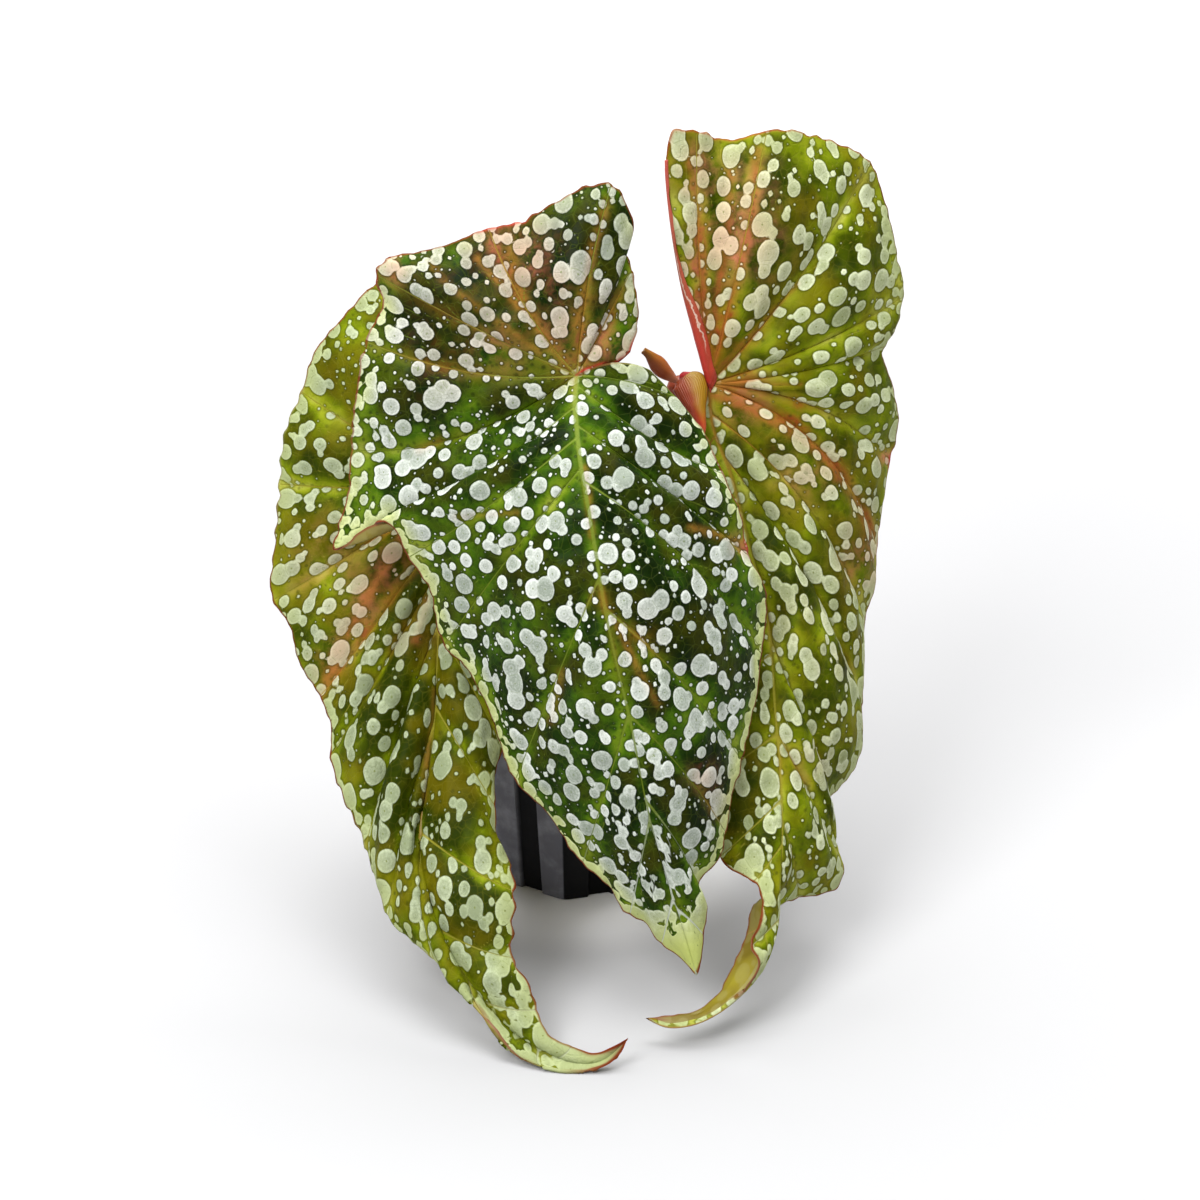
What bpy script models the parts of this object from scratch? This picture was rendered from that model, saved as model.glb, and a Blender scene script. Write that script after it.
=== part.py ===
"""A young angel-wing begonia in a small black nursery pot.

Metres, +Z up. The origin is the middle of the pot's foot, on the surface that it stands on.
"""

import math

import bmesh
import bpy
import numpy as np
from mathutils import Vector

MM = 0.001

# The viewpoint that the leaf outlines are drawn from
EYE_TILT = math.radians(26.0)
EYE_DISTANCE = 1.10
EYE_AIM = (0.0073, 0.0, 0.0941)
FOCAL = 3400.0
PICTURE_CENTRE = 600.0

# Pot
POT_SIDES = 8
POT_TURN = math.radians(-98.4)
POT_HEIGHT = 0.078
POT_FOOT_RADIUS = 0.0320
POT_RIM_RADIUS = 0.0395
POT_WALL = 0.0022
POT_FLOOR = 0.0020
POT_CORNER = 0.0016
CORNER_CUT = 0.3 * POT_CORNER            # how far the outermost point of a corner stands back
FLUTE_HALF_WIDTH = 0.0034
FLUTE_SLOPE = 0.0008
FLUTE_DEPTH = 0.0013
FLUTE_TOP = 0.0640
LIP_HEIGHT = 0.0070
LIP_OUT = 0.0012
EDGE = 0.0008
DRAIN_RADIUS = 0.0035
DRAIN_CIRCLE = 0.0170
DRAIN_SIDES = 12
DRAIN_CUT = 6 * POT_FLOOR                # the cutters' length, well past both faces of the floor

# Potting mix
SOIL_TOP = 0.0640
SOIL_MOUND = 0.0030
SOIL_GAP = 0.0004
SOIL_CORNER_GAP = 2.2 * SOIL_GAP         # the same gap, measured at the pot's inner corners
SHOULDER_OUT = 0.6                       # where the mound turns down, in inner radii of the pot
SHOULDER_UP = 0.7                        # its height there, in heights of the mound
SHOULDER_ROUND = 0.6                     # how round it is there, from eight-sided to round
CANE_HOLE_RADIUS = 0.0036
CANE_HOLE_FLOOR = 0.0300

# Stems: places in millimetres, each with the stem's radius there
CANE = [
    (0.0, 0.0, 31.0, 2.4), (0.0, 0.0, 62.0, 2.6), (2.5, 1.0, 85.0, 2.5), (9.0, 2.0, 106.0, 2.4),
    (15.0, 2.0, 118.0, 3.3), (18.5, 2.2, 130.0, 2.3), (24.0, 2.0, 150.0, 3.2),
    (28.0, 1.2, 160.0, 2.3), (31.0, 0.2, 168.0, 3.4), (31.6, -0.4, 172.0, 2.2),
]
PETIOLE_FRONT = [
    (21.6, -1.2, 152.3, 2.2), (17.0, -11.0, 162.0, 1.8), (9.0, -29.0, 178.5, 1.7),
    (-1.0, -43.4, 189.9, 2.0),
]
PETIOLE_LEFT = [
    (11.6, 0.7, 120.1, 2.1), (2.0, -1.0, 127.0, 1.8), (-20.0, -4.0, 135.0, 1.7),
    (-38.9, -8.6, 138.3, 1.9),
]
PETIOLE_RIGHT = [
    (32.7, -2.7, 172.7, 2.0), (36.5, -6.0, 174.0, 1.8), (40.2, -8.9, 174.0, 1.9),
]
STEM_STEP = 0.0040
STEM_FEWEST = 4                          # rings on the shortest stalk
STEM_RESOLUTION = 2

# Sheaths at the crown: picture points with the distance in front, half the width and half the
# thickness there, in millimetres
STIPULE_UPPER = [
    (674, 379, 4.3, 0.8, 0.5), (668, 372, 6.9, 1.9, 1.2), (660, 366, 9.3, 2.4, 1.5),
    (651, 358, 11.5, 2.2, 1.3), (643, 350, 13.0, 1.5, 0.8),
]
STIPULE_LOWER = [
    (681, 390, 4.2, 1.0, 0.6), (689, 392, 8.2, 2.2, 0.9), (697, 402, 14.0, 3.1, 1.2),
    (700, 418, 18.5, 2.2, 1.0), (703, 437, 21.0, 0.4, 0.3),
]
SHEATH_SIDES = 10
SHEATH_STEPS = 3                         # rings for each drawn point

# Leaf blades
BLADE = 0.0008
COLUMNS = 8
PLEAT_SPAN = 0.4                         # a pleat's greatest width, in widths of the half blade
PLEAT_RISE = 0.25                        # where it reaches full height, from midrib to edge
FACING = [0.0, -1.0, 0.45]               # roughly where every blade's upper face looks

# Each blade is drawn as picture points with how far each stands in front of the pot's middle,
# in millimetres: (across, down, in front). The last number of an edge point is where its side
# vein leaves the midrib, from 0 at the stalk to 1 at the tip.
FRONT = {
    "midrib": [
        (577, 375, 45), (575, 405, 54), (577, 432, 60), (581, 467, 67), (589, 512, 74),
        (597, 560, 81), (605, 610, 87), (617, 665, 92), (630, 720, 97), (647, 806, 103),
        (666, 875, 106), (680, 918, 108), (697, 975, 110),
    ],
    "left": [
        (629, 352, 36, 0), (636, 329, 33, 0), (631, 270, 28, 0), (625, 247, 27, 0),
        (631, 235, 26, 0), (611, 185, 25, 0), (549, 207, 24, 0), (526, 221, 24, 0),
        (489, 229, 23, 0), (449, 245, 22, 0), (376, 274, 20, 0), (383, 300, 21, 0),
        (366, 341, 26, 0), (355, 406, 30, 0), (351, 450, 33, 0), (349, 490, 36, 0.03),
        (335, 550, 40, 0.06), (372, 525, 46, 0.08), (389, 523, 50, 0.09), (409, 557, 52, 0.11),
        (430, 587, 53, 0.13), (445, 644, 58, 0.16), (469, 670, 62, 0.19), (494, 720, 70, 0.25),
        (516, 780, 78, 0.33), (549, 813, 84, 0.43), (583, 863, 91, 0.55), (609, 885, 95, 0.63),
        (630, 915, 99, 0.72), (644, 921, 100, 0.77), (662, 944, 103, 0.86), (683, 959, 107, 0.94),
        (697, 975, 110, 1),
    ],
    "right": [
        (649, 371, 36, 0), (674, 397, 38, 0), (703, 433, 42, 0), (722, 474, 46, 0.02),
        (739, 514, 50, 0.06), (748, 556, 53, 0.09), (764, 590, 54, 0.12), (766, 606, 55, 0.13),
        (761, 650, 61, 0.18), (757, 688, 66, 0.24), (748, 729, 73, 0.31), (741, 761, 79, 0.38),
        (732, 794, 84, 0.46), (725, 833, 90, 0.55), (719, 858, 94, 0.61), (698, 885, 100, 0.69),
        (706, 906, 103, 0.77), (703, 935, 106, 0.88), (700, 961, 109, 0.96), (697, 975, 110, 1),
    ],
    "bend": {
        "left": [
            (0, 0.6, 1.5, 1), (5, -2, 0, 3), (8, -1.5, 1, 5), (10, 0, -1, 5), (12, 0, 3, 4),
            (14, 0, 6, 4), (21, -1, -2, 5), (26, 0, -1, 3), (32, 0, 0, 0),
        ],
        "right": [(0, 0, -3.5, 1), (3, 0, 1, 4), (8, 3, -5, 5), (13, 2, -2, 3), (19, 0, 0, 0)],
    },
    "ribs": {
        "left": [2, 5, 8, 10, 12, 14, 16, 19, 21, 24, 26, 28, 30],
        "right": [1, 3, 5, 8, 11, 13, 15, 17],
    },
    "pleat": 0.13,
}
LEFT = {
    "midrib": [
        (450, 485, 10), (446, 540, 22), (440, 600, 33), (437, 665, 46), (434, 729, 58),
        (426, 788, 70), (420, 828, 78), (423, 877, 87), (434, 915, 95), (450, 950, 102),
        (475, 988, 110), (505, 1024, 118), (540, 1048, 124), (568, 1061, 128), (600, 1061, 129),
        (628, 1038, 128),
    ],
    "left": [
        (470, 440, 2, 0), (450, 350, -8, 0), (430, 300, -12, 0), (405, 268, -12, 0),
        (383, 279, -10, 0), (341, 320, -6, 0), (315, 353, -5, 0), (302, 392, -2, 0),
        (288, 425, 0, 0), (280, 484, 5, 0), (277, 529, 10, 0), (274, 600, 20, 0),
        (291, 628, 26, 0.01), (299, 658, 30, 0.03), (320, 697, 38, 0.05), (333, 729, 45, 0.08),
        (331, 757, 50, 0.11), (347, 802, 60, 0.15), (366, 846, 70, 0.20), (378, 883, 80, 0.27),
        (389, 917, 89, 0.34), (415, 942, 96, 0.43), (435, 960, 102, 0.50), (469, 996, 112, 0.62),
        (494, 1026, 121, 0.72), (523, 1059, 128, 0.82), (541, 1067, 130.5, 0.86),
        (567, 1072, 131.8, 0.91), (603, 1067, 131.6, 0.96), (619, 1055, 130, 0.985),
        (628, 1038, 128, 1),
    ],
    "right": [
        (482, 462, 5, 0), (505, 500, 10, 0), (524, 560, 19, 0), (528, 610, 28, 0.03),
        (522, 660, 40, 0.08), (512, 706, 51, 0.14), (502, 748, 60, 0.21), (493, 776, 67, 0.26),
        (495, 808, 75, 0.32), (497, 840, 82, 0.38), (508, 861, 88, 0.43), (515, 892, 97, 0.50),
        (512, 925, 103, 0.57), (513, 958, 108, 0.64), (529, 987, 114, 0.71), (537, 1010, 118, 0.76),
        (551, 1037, 124, 0.85), (572, 1047, 126, 0.89), (594, 1054, 128, 0.94),
        (614, 1046, 129, 0.98), (628, 1038, 128, 1),
    ],
    "bend": {
        "left": [
            (0, 0, 0, 1), (4, 0, -3, 7), (9, 0, -2, 7), (14, 0, 0, 5), (20, -2, 1, 3),
            (25, -1, 1, 1), (30, 0, 0, 0),
        ],
        "right": [(0, 1, -1, 1), (4, 2, -1, 4), (10, 1, 0, 4), (15, 0, 0, 2), (20, 0, 0, 0)],
    },
    "ribs": {
        "left": [2, 4, 7, 9, 11, 14, 16, 18, 20, 22, 24, 26],
        "right": [2, 4, 6, 8, 11, 13, 15, 17],
    },
    "pleat": 0.17,
}
RIGHT = {
    "midrib": [
        (709, 384, 10), (711, 416, 13), (733, 481, 22), (748, 540, 33), (765, 600, 43),
        (772, 655, 51), (775, 710, 60), (780, 772, 71), (782, 836, 83), (780, 880, 91),
        (778, 928, 99), (771, 951, 104), (756, 980, 110), (740, 997, 113), (718, 1014, 116),
        (690, 1026, 118), (665, 1027, 118), (646, 1018, 116),
    ],
    "left": [
        (694, 412, 6, 0), (680, 460, 8, 0), (668, 530, 14, 0.07), (664, 600, 26, 0.17),
        (670, 670, 40, 0.28), (680, 730, 54, 0.38), (697, 795, 70, 0.49), (719, 858, 84, 0.58),
        (733, 871, 88, 0.61), (754, 882, 93, 0.64), (763, 903, 98, 0.67), (757, 928, 104, 0.71),
        (750, 947, 108, 0.74), (758, 960, 110, 0.76), (748, 984, 112, 0.80), (730, 1003, 113, 0.84),
        (700, 1019, 115, 0.90), (670, 1022, 115.5, 0.95), (646, 1018, 116, 1),
    ],
    "right": [
        (666, 158, -3, 0), (673, 131, -5, 0), (696, 131, -8, 0), (730, 141, -15, 0),
        (767, 131, -12, 0),
        (831, 142, -22, 0), (869, 162, -27, 0), (879, 185, -28, 0), (893, 242, -24, 0),
        (902, 297, -20, 0), (893, 332, -14, 0), (883, 346, -12, 0), (891, 385, -14, 0),
        (897, 421, -14, 0), (889, 460, -10, 0), (880, 512, -5, 0), (876, 546, 0, 0),
        (874, 585, 7, 0.02), (864, 620, 14, 0.04), (863, 660, 21, 0.06), (861, 708, 30, 0.10),
        (860, 751, 38, 0.19), (851, 772, 42, 0.26), (826, 810, 55, 0.36), (832, 824, 57, 0.40),
        (834, 851, 60, 0.45), (843, 868, 63, 0.49), (837, 885, 67, 0.53), (819, 894, 71, 0.57),
        (798, 897, 75, 0.61), (775, 905, 81, 0.65), (753, 905, 88, 0.69), (746, 935, 94, 0.73),
        (735, 960, 100, 0.77), (718, 993, 107, 0.83), (697, 1010, 111, 0.88),
        (668, 1016, 114, 0.95), (646, 1018, 116, 1),
    ],
    "bend": {
        "left": [(0, 0, 0, 1), (4, -2, -1, 2), (8, 0, 0, 1), (12, 0, 0, 0), (18, 0, 0, 0)],
        "right": [
            (0, -1.8, 0, 0), (4, 0, 0, 7), (6, 2, -1, 9), (11, 1, -2, 10), (14, 4, -9, 9),
            (16, 6, -11, 8), (20, 4, -4, 7), (23, 1, -1, 5), (27, 1, 0, 3), (31, 1, 0, 1),
            (37, 0, 0, 0),
        ],
    },
    "ribs": {
        "left": [1, 2, 3, 4, 5, 6, 7, 9, 12],
        "right": [2, 4, 6, 9, 11, 14, 16, 18, 20, 23, 26, 29, 32],
    },
    "pleat": 0.17,
}

MATERIALS = {
    "black_plastic": ((0.012, 0.012, 0.014), 0.38),
    "potting_mix": ((0.030, 0.017, 0.010), 0.95),
    "leaf_green": ((0.060, 0.150, 0.025), 0.42),
    "stalk_red": ((0.330, 0.025, 0.020), 0.40),
    "sheath_brown": ((0.420, 0.120, 0.030), 0.50),
}


def clear_scene():
    for thing in list(bpy.data.objects):
        bpy.data.objects.remove(thing, do_unlink=True)


def material(name):
    """A plain Principled material, made the first time that it is asked for."""
    made = bpy.data.materials.get(name)
    if made is None:
        colour, roughness = MATERIALS[name]
        made = bpy.data.materials.new(name)
        made.use_nodes = True
        shader = made.node_tree.nodes["Principled BSDF"]
        shader.inputs["Base Color"].default_value = (*colour, 1.0)
        shader.inputs["Roughness"].default_value = roughness
        shader.inputs["Metallic"].default_value = 0.0
    return made


def add(name, data, look):
    thing = bpy.data.objects.new(name, data)
    thing.data.materials.append(material(look))
    bpy.context.scene.collection.objects.link(thing)
    return thing


def seen_at(points):
    """Picture points with their distances in front, as places in space."""
    points = np.asarray(points, float)
    ahead = np.array([0.0, math.cos(EYE_TILT), -math.sin(EYE_TILT)])
    up = np.array([0.0, math.sin(EYE_TILT), math.cos(EYE_TILT)])
    eye = np.array(EYE_AIM) - EYE_DISTANCE * ahead
    across = (points[:, 0] - PICTURE_CENTRE) / FOCAL
    above = (PICTURE_CENTRE - points[:, 1]) / FOCAL
    rays = ahead + np.outer(across, [1.0, 0.0, 0.0]) + np.outer(above, up)
    reach = (-MM * points[:, 2] - eye[1]) / rays[:, 1]
    return eye + rays * reach[:, None]


def lengths_along(points):
    """How far along the line each point is, from 0 to 1."""
    steps = np.linalg.norm(np.diff(points, axis=0), axis=1)
    total = np.concatenate([[0.0], np.cumsum(steps)])
    return total / total[-1]


def smooth(points, knots, where):
    """A smooth line through the points, read at the given places."""
    slopes = np.gradient(points, knots, axis=0)
    piece = np.clip(np.searchsorted(knots, where, side="right") - 1, 0, len(knots) - 2)
    span = (knots[piece + 1] - knots[piece])[:, None]
    t = (where - knots[piece])[:, None] / span
    return (
        (2 * t**3 - 3 * t**2 + 1) * points[piece]
        + (t**3 - 2 * t**2 + t) * span * slopes[piece]
        + (3 * t**2 - 2 * t**3) * points[piece + 1]
        + (t**3 - t**2) * span * slopes[piece + 1]
    )


def shared_roots(leaf):
    """Where rows leave the midrib: at the side vein of every drawn point of either edge."""
    return sorted({point[3] for side in ("left", "right") for point in leaf[side]})


def half_blade(leaf, side):
    """One side of a blade: rows from the midrib out to the edge, from the stalk to the tip."""
    table = np.asarray(leaf[side], float)
    edge = seen_at(table[:, :3])
    edge_knots = lengths_along(edge)
    fan = int(np.sum(table[:, 3] == 0.0)) - 1
    roots = np.asarray(shared_roots(leaf))
    where = np.concatenate([edge_knots[:fan], np.interp(roots, table[fan:, 3], edge_knots[fan:])])
    roots = np.concatenate([np.zeros(fan), roots])
    midrib = seen_at(leaf["midrib"])
    start = smooth(midrib, lengths_along(midrib), roots)
    end = smooth(edge, edge_knots, where)

    bend = np.asarray(leaf["bend"][side], float)
    bend_knots = edge_knots[bend[:, 0].astype(int)]
    sag = np.stack([np.interp(where, bend_knots, bend[:, k]) for k in (1, 2, 3)], axis=1)
    sag = MM * np.stack([sag[:, 0], -sag[:, 2], -sag[:, 1]], axis=1)

    u = np.linspace(0.0, 1.0, COLUMNS)[None, :, None]
    sheet = (1 - u) * start[:, None] + u * end[:, None] + 4 * u * (1 - u) * sag[:, None]
    facing = np.cross(np.gradient(sheet, axis=1), np.gradient(sheet, axis=0))
    facing[:, 0] = facing[:, 1]
    facing *= np.sign(facing @ FACING)[..., None]
    facing /= np.linalg.norm(facing, axis=2, keepdims=True) + 1e-12

    ribs = np.concatenate([[0.0], edge_knots[leaf["ribs"][side]], [1.0]])
    piece = np.clip(np.searchsorted(ribs, where, side="right") - 1, 0, len(ribs) - 2)
    phase = (where - ribs[piece]) / (ribs[piece + 1] - ribs[piece])
    rib_starts = smooth(midrib, lengths_along(midrib), np.interp(ribs, edge_knots, table[:, 3]))
    rib_ends = smooth(edge, edge_knots, ribs)
    start_gap = np.linalg.norm(np.diff(rib_starts, axis=0), axis=1)[piece][:, None, None]
    end_gap = np.linalg.norm(np.diff(rib_ends, axis=0), axis=1)[piece][:, None, None]
    width = np.linalg.norm(end - start, axis=1)[:, None, None]
    gap = np.minimum((1 - u) * start_gap + u * end_gap, PLEAT_SPAN * width)
    height = leaf["pleat"] * gap * np.sin(math.pi * phase)[:, None, None]
    fade = np.minimum(1.0, u / PLEAT_RISE) * (1 - u**4)
    return sheet + height * fade * facing, fan


def leaf_blade(name, leaf):
    """Both halves sewn along the midrib, cut into triangles, then made thick."""
    left, left_fan = half_blade(leaf, "left")
    right, right_fan = half_blade(leaf, "right")
    points = []
    shared = {}
    last_row = len(shared_roots(leaf)) - 1

    def corner(side, fan, row, column, place):
        on_midrib = column == 0
        if row - fan == last_row:
            key = "tip"
        elif on_midrib:
            key = ("midrib", max(0, row - fan))
        else:
            key = (side, row, column)
        if key not in shared:
            shared[key] = len(points)
            points.append(tuple(place))
        return shared[key]

    faces = []
    for side, sheet, fan in (("left", left, left_fan), ("right", right, right_fan)):
        index = [
            [corner(side, fan, i, j, sheet[i, j]) for j in range(COLUMNS)]
            for i in range(len(sheet))
        ]
        for i in range(len(sheet) - 1):
            for j in range(COLUMNS - 1):
                a, b = index[i][j], index[i + 1][j]
                c, d = index[i + 1][j + 1], index[i][j + 1]
                for face in ((a, b, c), (a, c, d)):
                    if len(set(face)) == 3:
                        faces.append(face if side == "left" else face[::-1])
    mesh = bpy.data.meshes.new(name)
    mesh.from_pydata(points, [], faces)
    mesh.validate()
    mesh.shade_smooth()
    blade = add(name, mesh, "leaf_green")
    thick = blade.modifiers.new("thickness", "SOLIDIFY")
    thick.thickness = BLADE
    thick.offset = -1.0
    return blade


def side_ring(radius, depth, height, corner=POT_CORNER, cut=CORNER_CUT):
    """One level of the pot: eight sides with softened corners and a flute in each side."""
    turn = math.pi / POT_SIDES
    half = radius * math.sin(turn)
    flat = radius * math.cos(turn)
    dip = FLUTE_HALF_WIDTH + FLUTE_SLOPE
    profile = [
        (-half, flat - cut), (corner - half, flat), (-dip, flat),
        (-FLUTE_HALF_WIDTH, flat - depth), (FLUTE_HALF_WIDTH, flat - depth), (dip, flat),
        (half - corner, flat),
    ]
    ring = []
    for side in range(POT_SIDES):
        angle = POT_TURN + turn * (2 * side + 1)
        for along, out in profile:
            across = out * math.cos(angle) - along * math.sin(angle)
            deep = out * math.sin(angle) + along * math.cos(angle)
            ring.append(Vector((across, deep, height)))
    return ring


def mesh_of_rings(name, rings, look):
    """A closed solid from rings of equally many points, capped at the first and the last."""
    form = bmesh.new()
    loops = [[form.verts.new(place) for place in ring] for ring in rings]
    count = len(rings[0])
    for low, high in zip(loops, loops[1:]):
        for i in range(count):
            j = (i + 1) % count
            form.faces.new((low[i], low[j], high[j], high[i]))
    form.faces.new(loops[0][::-1])
    form.faces.new(loops[-1])
    bmesh.ops.recalc_face_normals(form, faces=form.faces)
    mesh = bpy.data.meshes.new(name)
    form.to_mesh(mesh)
    form.free()
    return add(name, mesh, look)


def wall_radius(height):
    """The pot's outer corner radius at a height: it widens evenly from the foot to the rim."""
    return POT_FOOT_RADIUS + (POT_RIM_RADIUS - POT_FOOT_RADIUS) * height / POT_HEIGHT


def inner_radius(height):
    return wall_radius(height) - POT_WALL / math.cos(math.pi / POT_SIDES)


def pot():
    lip = POT_HEIGHT - LIP_HEIGHT
    rings = [
        side_ring(wall_radius(0.0) - EDGE, FLUTE_DEPTH, 0.0),
        side_ring(wall_radius(EDGE), FLUTE_DEPTH, EDGE),
        side_ring(wall_radius(FLUTE_TOP), FLUTE_DEPTH, FLUTE_TOP),
        side_ring(wall_radius(FLUTE_TOP + FLUTE_DEPTH), 0.0, FLUTE_TOP + FLUTE_DEPTH),
        side_ring(wall_radius(lip), 0.0, lip),
        side_ring(wall_radius(lip) + LIP_OUT, 0.0, lip + 0.5 * EDGE),
        side_ring(wall_radius(POT_HEIGHT) + LIP_OUT, 0.0, POT_HEIGHT - EDGE),
        side_ring(wall_radius(POT_HEIGHT) + LIP_OUT - EDGE, 0.0, POT_HEIGHT),
        side_ring(inner_radius(POT_HEIGHT), 0.0, POT_HEIGHT),
        side_ring(inner_radius(POT_FLOOR), 0.0, POT_FLOOR),
    ]
    shell = mesh_of_rings("pot", rings, "black_plastic")
    drains = bmesh.new()
    for side in range(POT_SIDES):
        angle = POT_TURN + 2 * math.pi * side / POT_SIDES
        hole = bmesh.ops.create_cone(
            drains, cap_ends=True, segments=DRAIN_SIDES, radius1=DRAIN_RADIUS, radius2=DRAIN_RADIUS,
            depth=DRAIN_CUT,
        )
        centre = (DRAIN_CIRCLE * math.cos(angle), DRAIN_CIRCLE * math.sin(angle), 0.0)
        bmesh.ops.translate(drains, verts=hole["verts"], vec=centre)
    cutter_mesh = bpy.data.meshes.new("drain_cutter")
    drains.to_mesh(cutter_mesh)
    drains.free()
    cutter = add("drain_cutter", cutter_mesh, "black_plastic")
    cutter.hide_render = True
    cutter.display_type = "WIRE"
    cut = shell.modifiers.new("drains", "BOOLEAN")
    cut.operation = "DIFFERENCE"
    cut.solver = "EXACT"
    cut.object = cutter


def soil():
    """Potting mix that fills the pot, a little mounded, with a plain hole for the cane."""
    base = POT_FLOOR + SOIL_GAP

    def level(radius, height, roundness):
        ring = []
        for k in range(2 * POT_SIDES):
            angle = POT_TURN + math.pi * k / POT_SIDES
            flat = 1.0 if k % 2 == 0 else math.cos(math.pi / POT_SIDES)
            reach = radius * (roundness + (1 - roundness) * flat)
            ring.append(Vector((reach * math.cos(angle), reach * math.sin(angle), height)))
        return ring

    shoulder = SOIL_TOP + SHOULDER_UP * SOIL_MOUND
    rings = [
        level(inner_radius(base) - SOIL_CORNER_GAP, base, 0.0),
        level(inner_radius(SOIL_TOP) - SOIL_CORNER_GAP, SOIL_TOP, 0.0),
        level(SHOULDER_OUT * inner_radius(SOIL_TOP), shoulder, SHOULDER_ROUND),
        level(CANE_HOLE_RADIUS, SOIL_TOP + SOIL_MOUND, 1.0),
        level(CANE_HOLE_RADIUS, CANE_HOLE_FLOOR, 1.0),
    ]
    mesh_of_rings("soil", rings, "potting_mix")


def stem(name, route, look):
    """A tapering stalk along a smooth line through the places of its route."""
    route = np.asarray(route, float) * MM
    knots = lengths_along(route[:, :3])
    length = np.linalg.norm(np.diff(route[:, :3], axis=0), axis=1).sum()
    count = max(STEM_FEWEST, round(length / STEM_STEP))
    line = smooth(route, knots, np.linspace(0.0, 1.0, count))
    curve = bpy.data.curves.new(name, "CURVE")
    curve.dimensions = "3D"
    curve.bevel_depth = MM
    curve.bevel_resolution = STEM_RESOLUTION
    curve.use_fill_caps = True
    spline = curve.splines.new("POLY")
    spline.points.add(count - 1)
    for point, (x, y, z, radius) in zip(spline.points, line):
        point.co = (x, y, z, 1.0)
        point.radius = radius / MM
    return add(name, curve, look)


def sheath(name, route):
    """A flattened pointed sheath: oval rings along a bent line."""
    table = np.asarray(route, float)
    places = seen_at(table[:, :3])
    knots = lengths_along(places)
    where = np.linspace(0.0, 1.0, SHEATH_STEPS * (len(route) - 1) + 1)
    line = smooth(places, knots, where)
    sizes = MM * smooth(table[:, 3:], knots, where)
    heading = np.gradient(line, axis=0)
    heading /= np.linalg.norm(heading, axis=1, keepdims=True)
    toward = np.array([0.0, -math.cos(EYE_TILT), math.sin(EYE_TILT)])
    rings = []
    for place, ahead, (wide, thick) in zip(line, heading, sizes):
        sideways = np.cross(ahead, toward)
        sideways /= np.linalg.norm(sideways)
        outward = np.cross(sideways, ahead)
        ring = []
        for k in range(SHEATH_SIDES):
            angle = 2 * math.pi * k / SHEATH_SIDES
            offset = wide * math.cos(angle) * sideways + thick * math.sin(angle) * outward
            ring.append(Vector(place + offset))
        rings.append(ring)
    mesh_of_rings(name, rings, "sheath_brown")


def build():
    clear_scene()
    pot()
    soil()
    stem("cane", CANE, "sheath_brown")
    stem("petiole_front", PETIOLE_FRONT, "stalk_red")
    stem("petiole_left", PETIOLE_LEFT, "stalk_red")
    stem("petiole_right", PETIOLE_RIGHT, "stalk_red")
    sheath("stipule_upper", STIPULE_UPPER)
    sheath("stipule_lower", STIPULE_LOWER)
    leaf_blade("leaf_front", FRONT)
    leaf_blade("leaf_left", LEFT)
    leaf_blade("leaf_right", RIGHT)


build()
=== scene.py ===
import math

import bpy
import numpy as np
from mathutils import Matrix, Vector


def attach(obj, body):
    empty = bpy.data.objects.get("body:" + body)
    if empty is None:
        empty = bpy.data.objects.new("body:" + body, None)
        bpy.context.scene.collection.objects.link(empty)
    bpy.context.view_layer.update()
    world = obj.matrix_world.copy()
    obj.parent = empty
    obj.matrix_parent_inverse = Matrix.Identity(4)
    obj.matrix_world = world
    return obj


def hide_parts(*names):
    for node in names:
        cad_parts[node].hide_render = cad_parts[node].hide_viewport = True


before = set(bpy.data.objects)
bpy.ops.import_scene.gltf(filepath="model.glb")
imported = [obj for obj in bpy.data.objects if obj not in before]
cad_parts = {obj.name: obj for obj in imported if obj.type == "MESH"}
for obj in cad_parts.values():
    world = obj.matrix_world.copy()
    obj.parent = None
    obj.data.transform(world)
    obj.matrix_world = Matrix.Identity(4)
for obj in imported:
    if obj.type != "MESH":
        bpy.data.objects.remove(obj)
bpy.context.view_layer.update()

# camera: the leaf outlines below are drawn from this viewpoint
camera = {
    "tilt": math.radians(26.0),     # how far the camera looks down
    "distance": 1.10,
    "aim": (0.0073, 0.0, 0.0941),
    "focal": 3400.0,                # in picture points, for a picture 1200 wide
    "picture": 1200.0,
    "film": 36.0,                   # width of the film, in mm
    "near": 0.05,
}
mm = 0.001
toMm = 1000
lookAhead = np.array([0.0, math.cos(camera["tilt"]), -math.sin(camera["tilt"])])
lookUp = np.array([0.0, math.sin(camera["tilt"]), math.cos(camera["tilt"])])
eye = np.array(camera["aim"]) - camera["distance"] * lookAhead


# Places in space of picture points (across, down, millimetres in front of the pot's middle):
# a ray leaves the eye through each point and stops at that distance in front.
def seenAt(points):
    points = np.asarray(points, float)
    half = camera["picture"] / 2
    rays = lookAhead + np.outer((points[:, 0] - half) / camera["focal"], [1.0, 0.0, 0.0])
    rays = rays + np.outer((half - points[:, 1]) / camera["focal"], lookUp)
    reach = (-mm * points[:, 2] - eye[1]) / rays[:, 1]
    return eye + rays * reach[:, None]


# The picture points of places in space.
def pictureOf(points):
    away = points - eye
    depth = away @ lookAhead
    across = camera["picture"] / 2 + camera["focal"] * away[:, 0] / depth
    down = camera["picture"] / 2 - camera["focal"] * (away @ lookUp) / depth
    return np.stack([across, down], axis=1)


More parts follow.
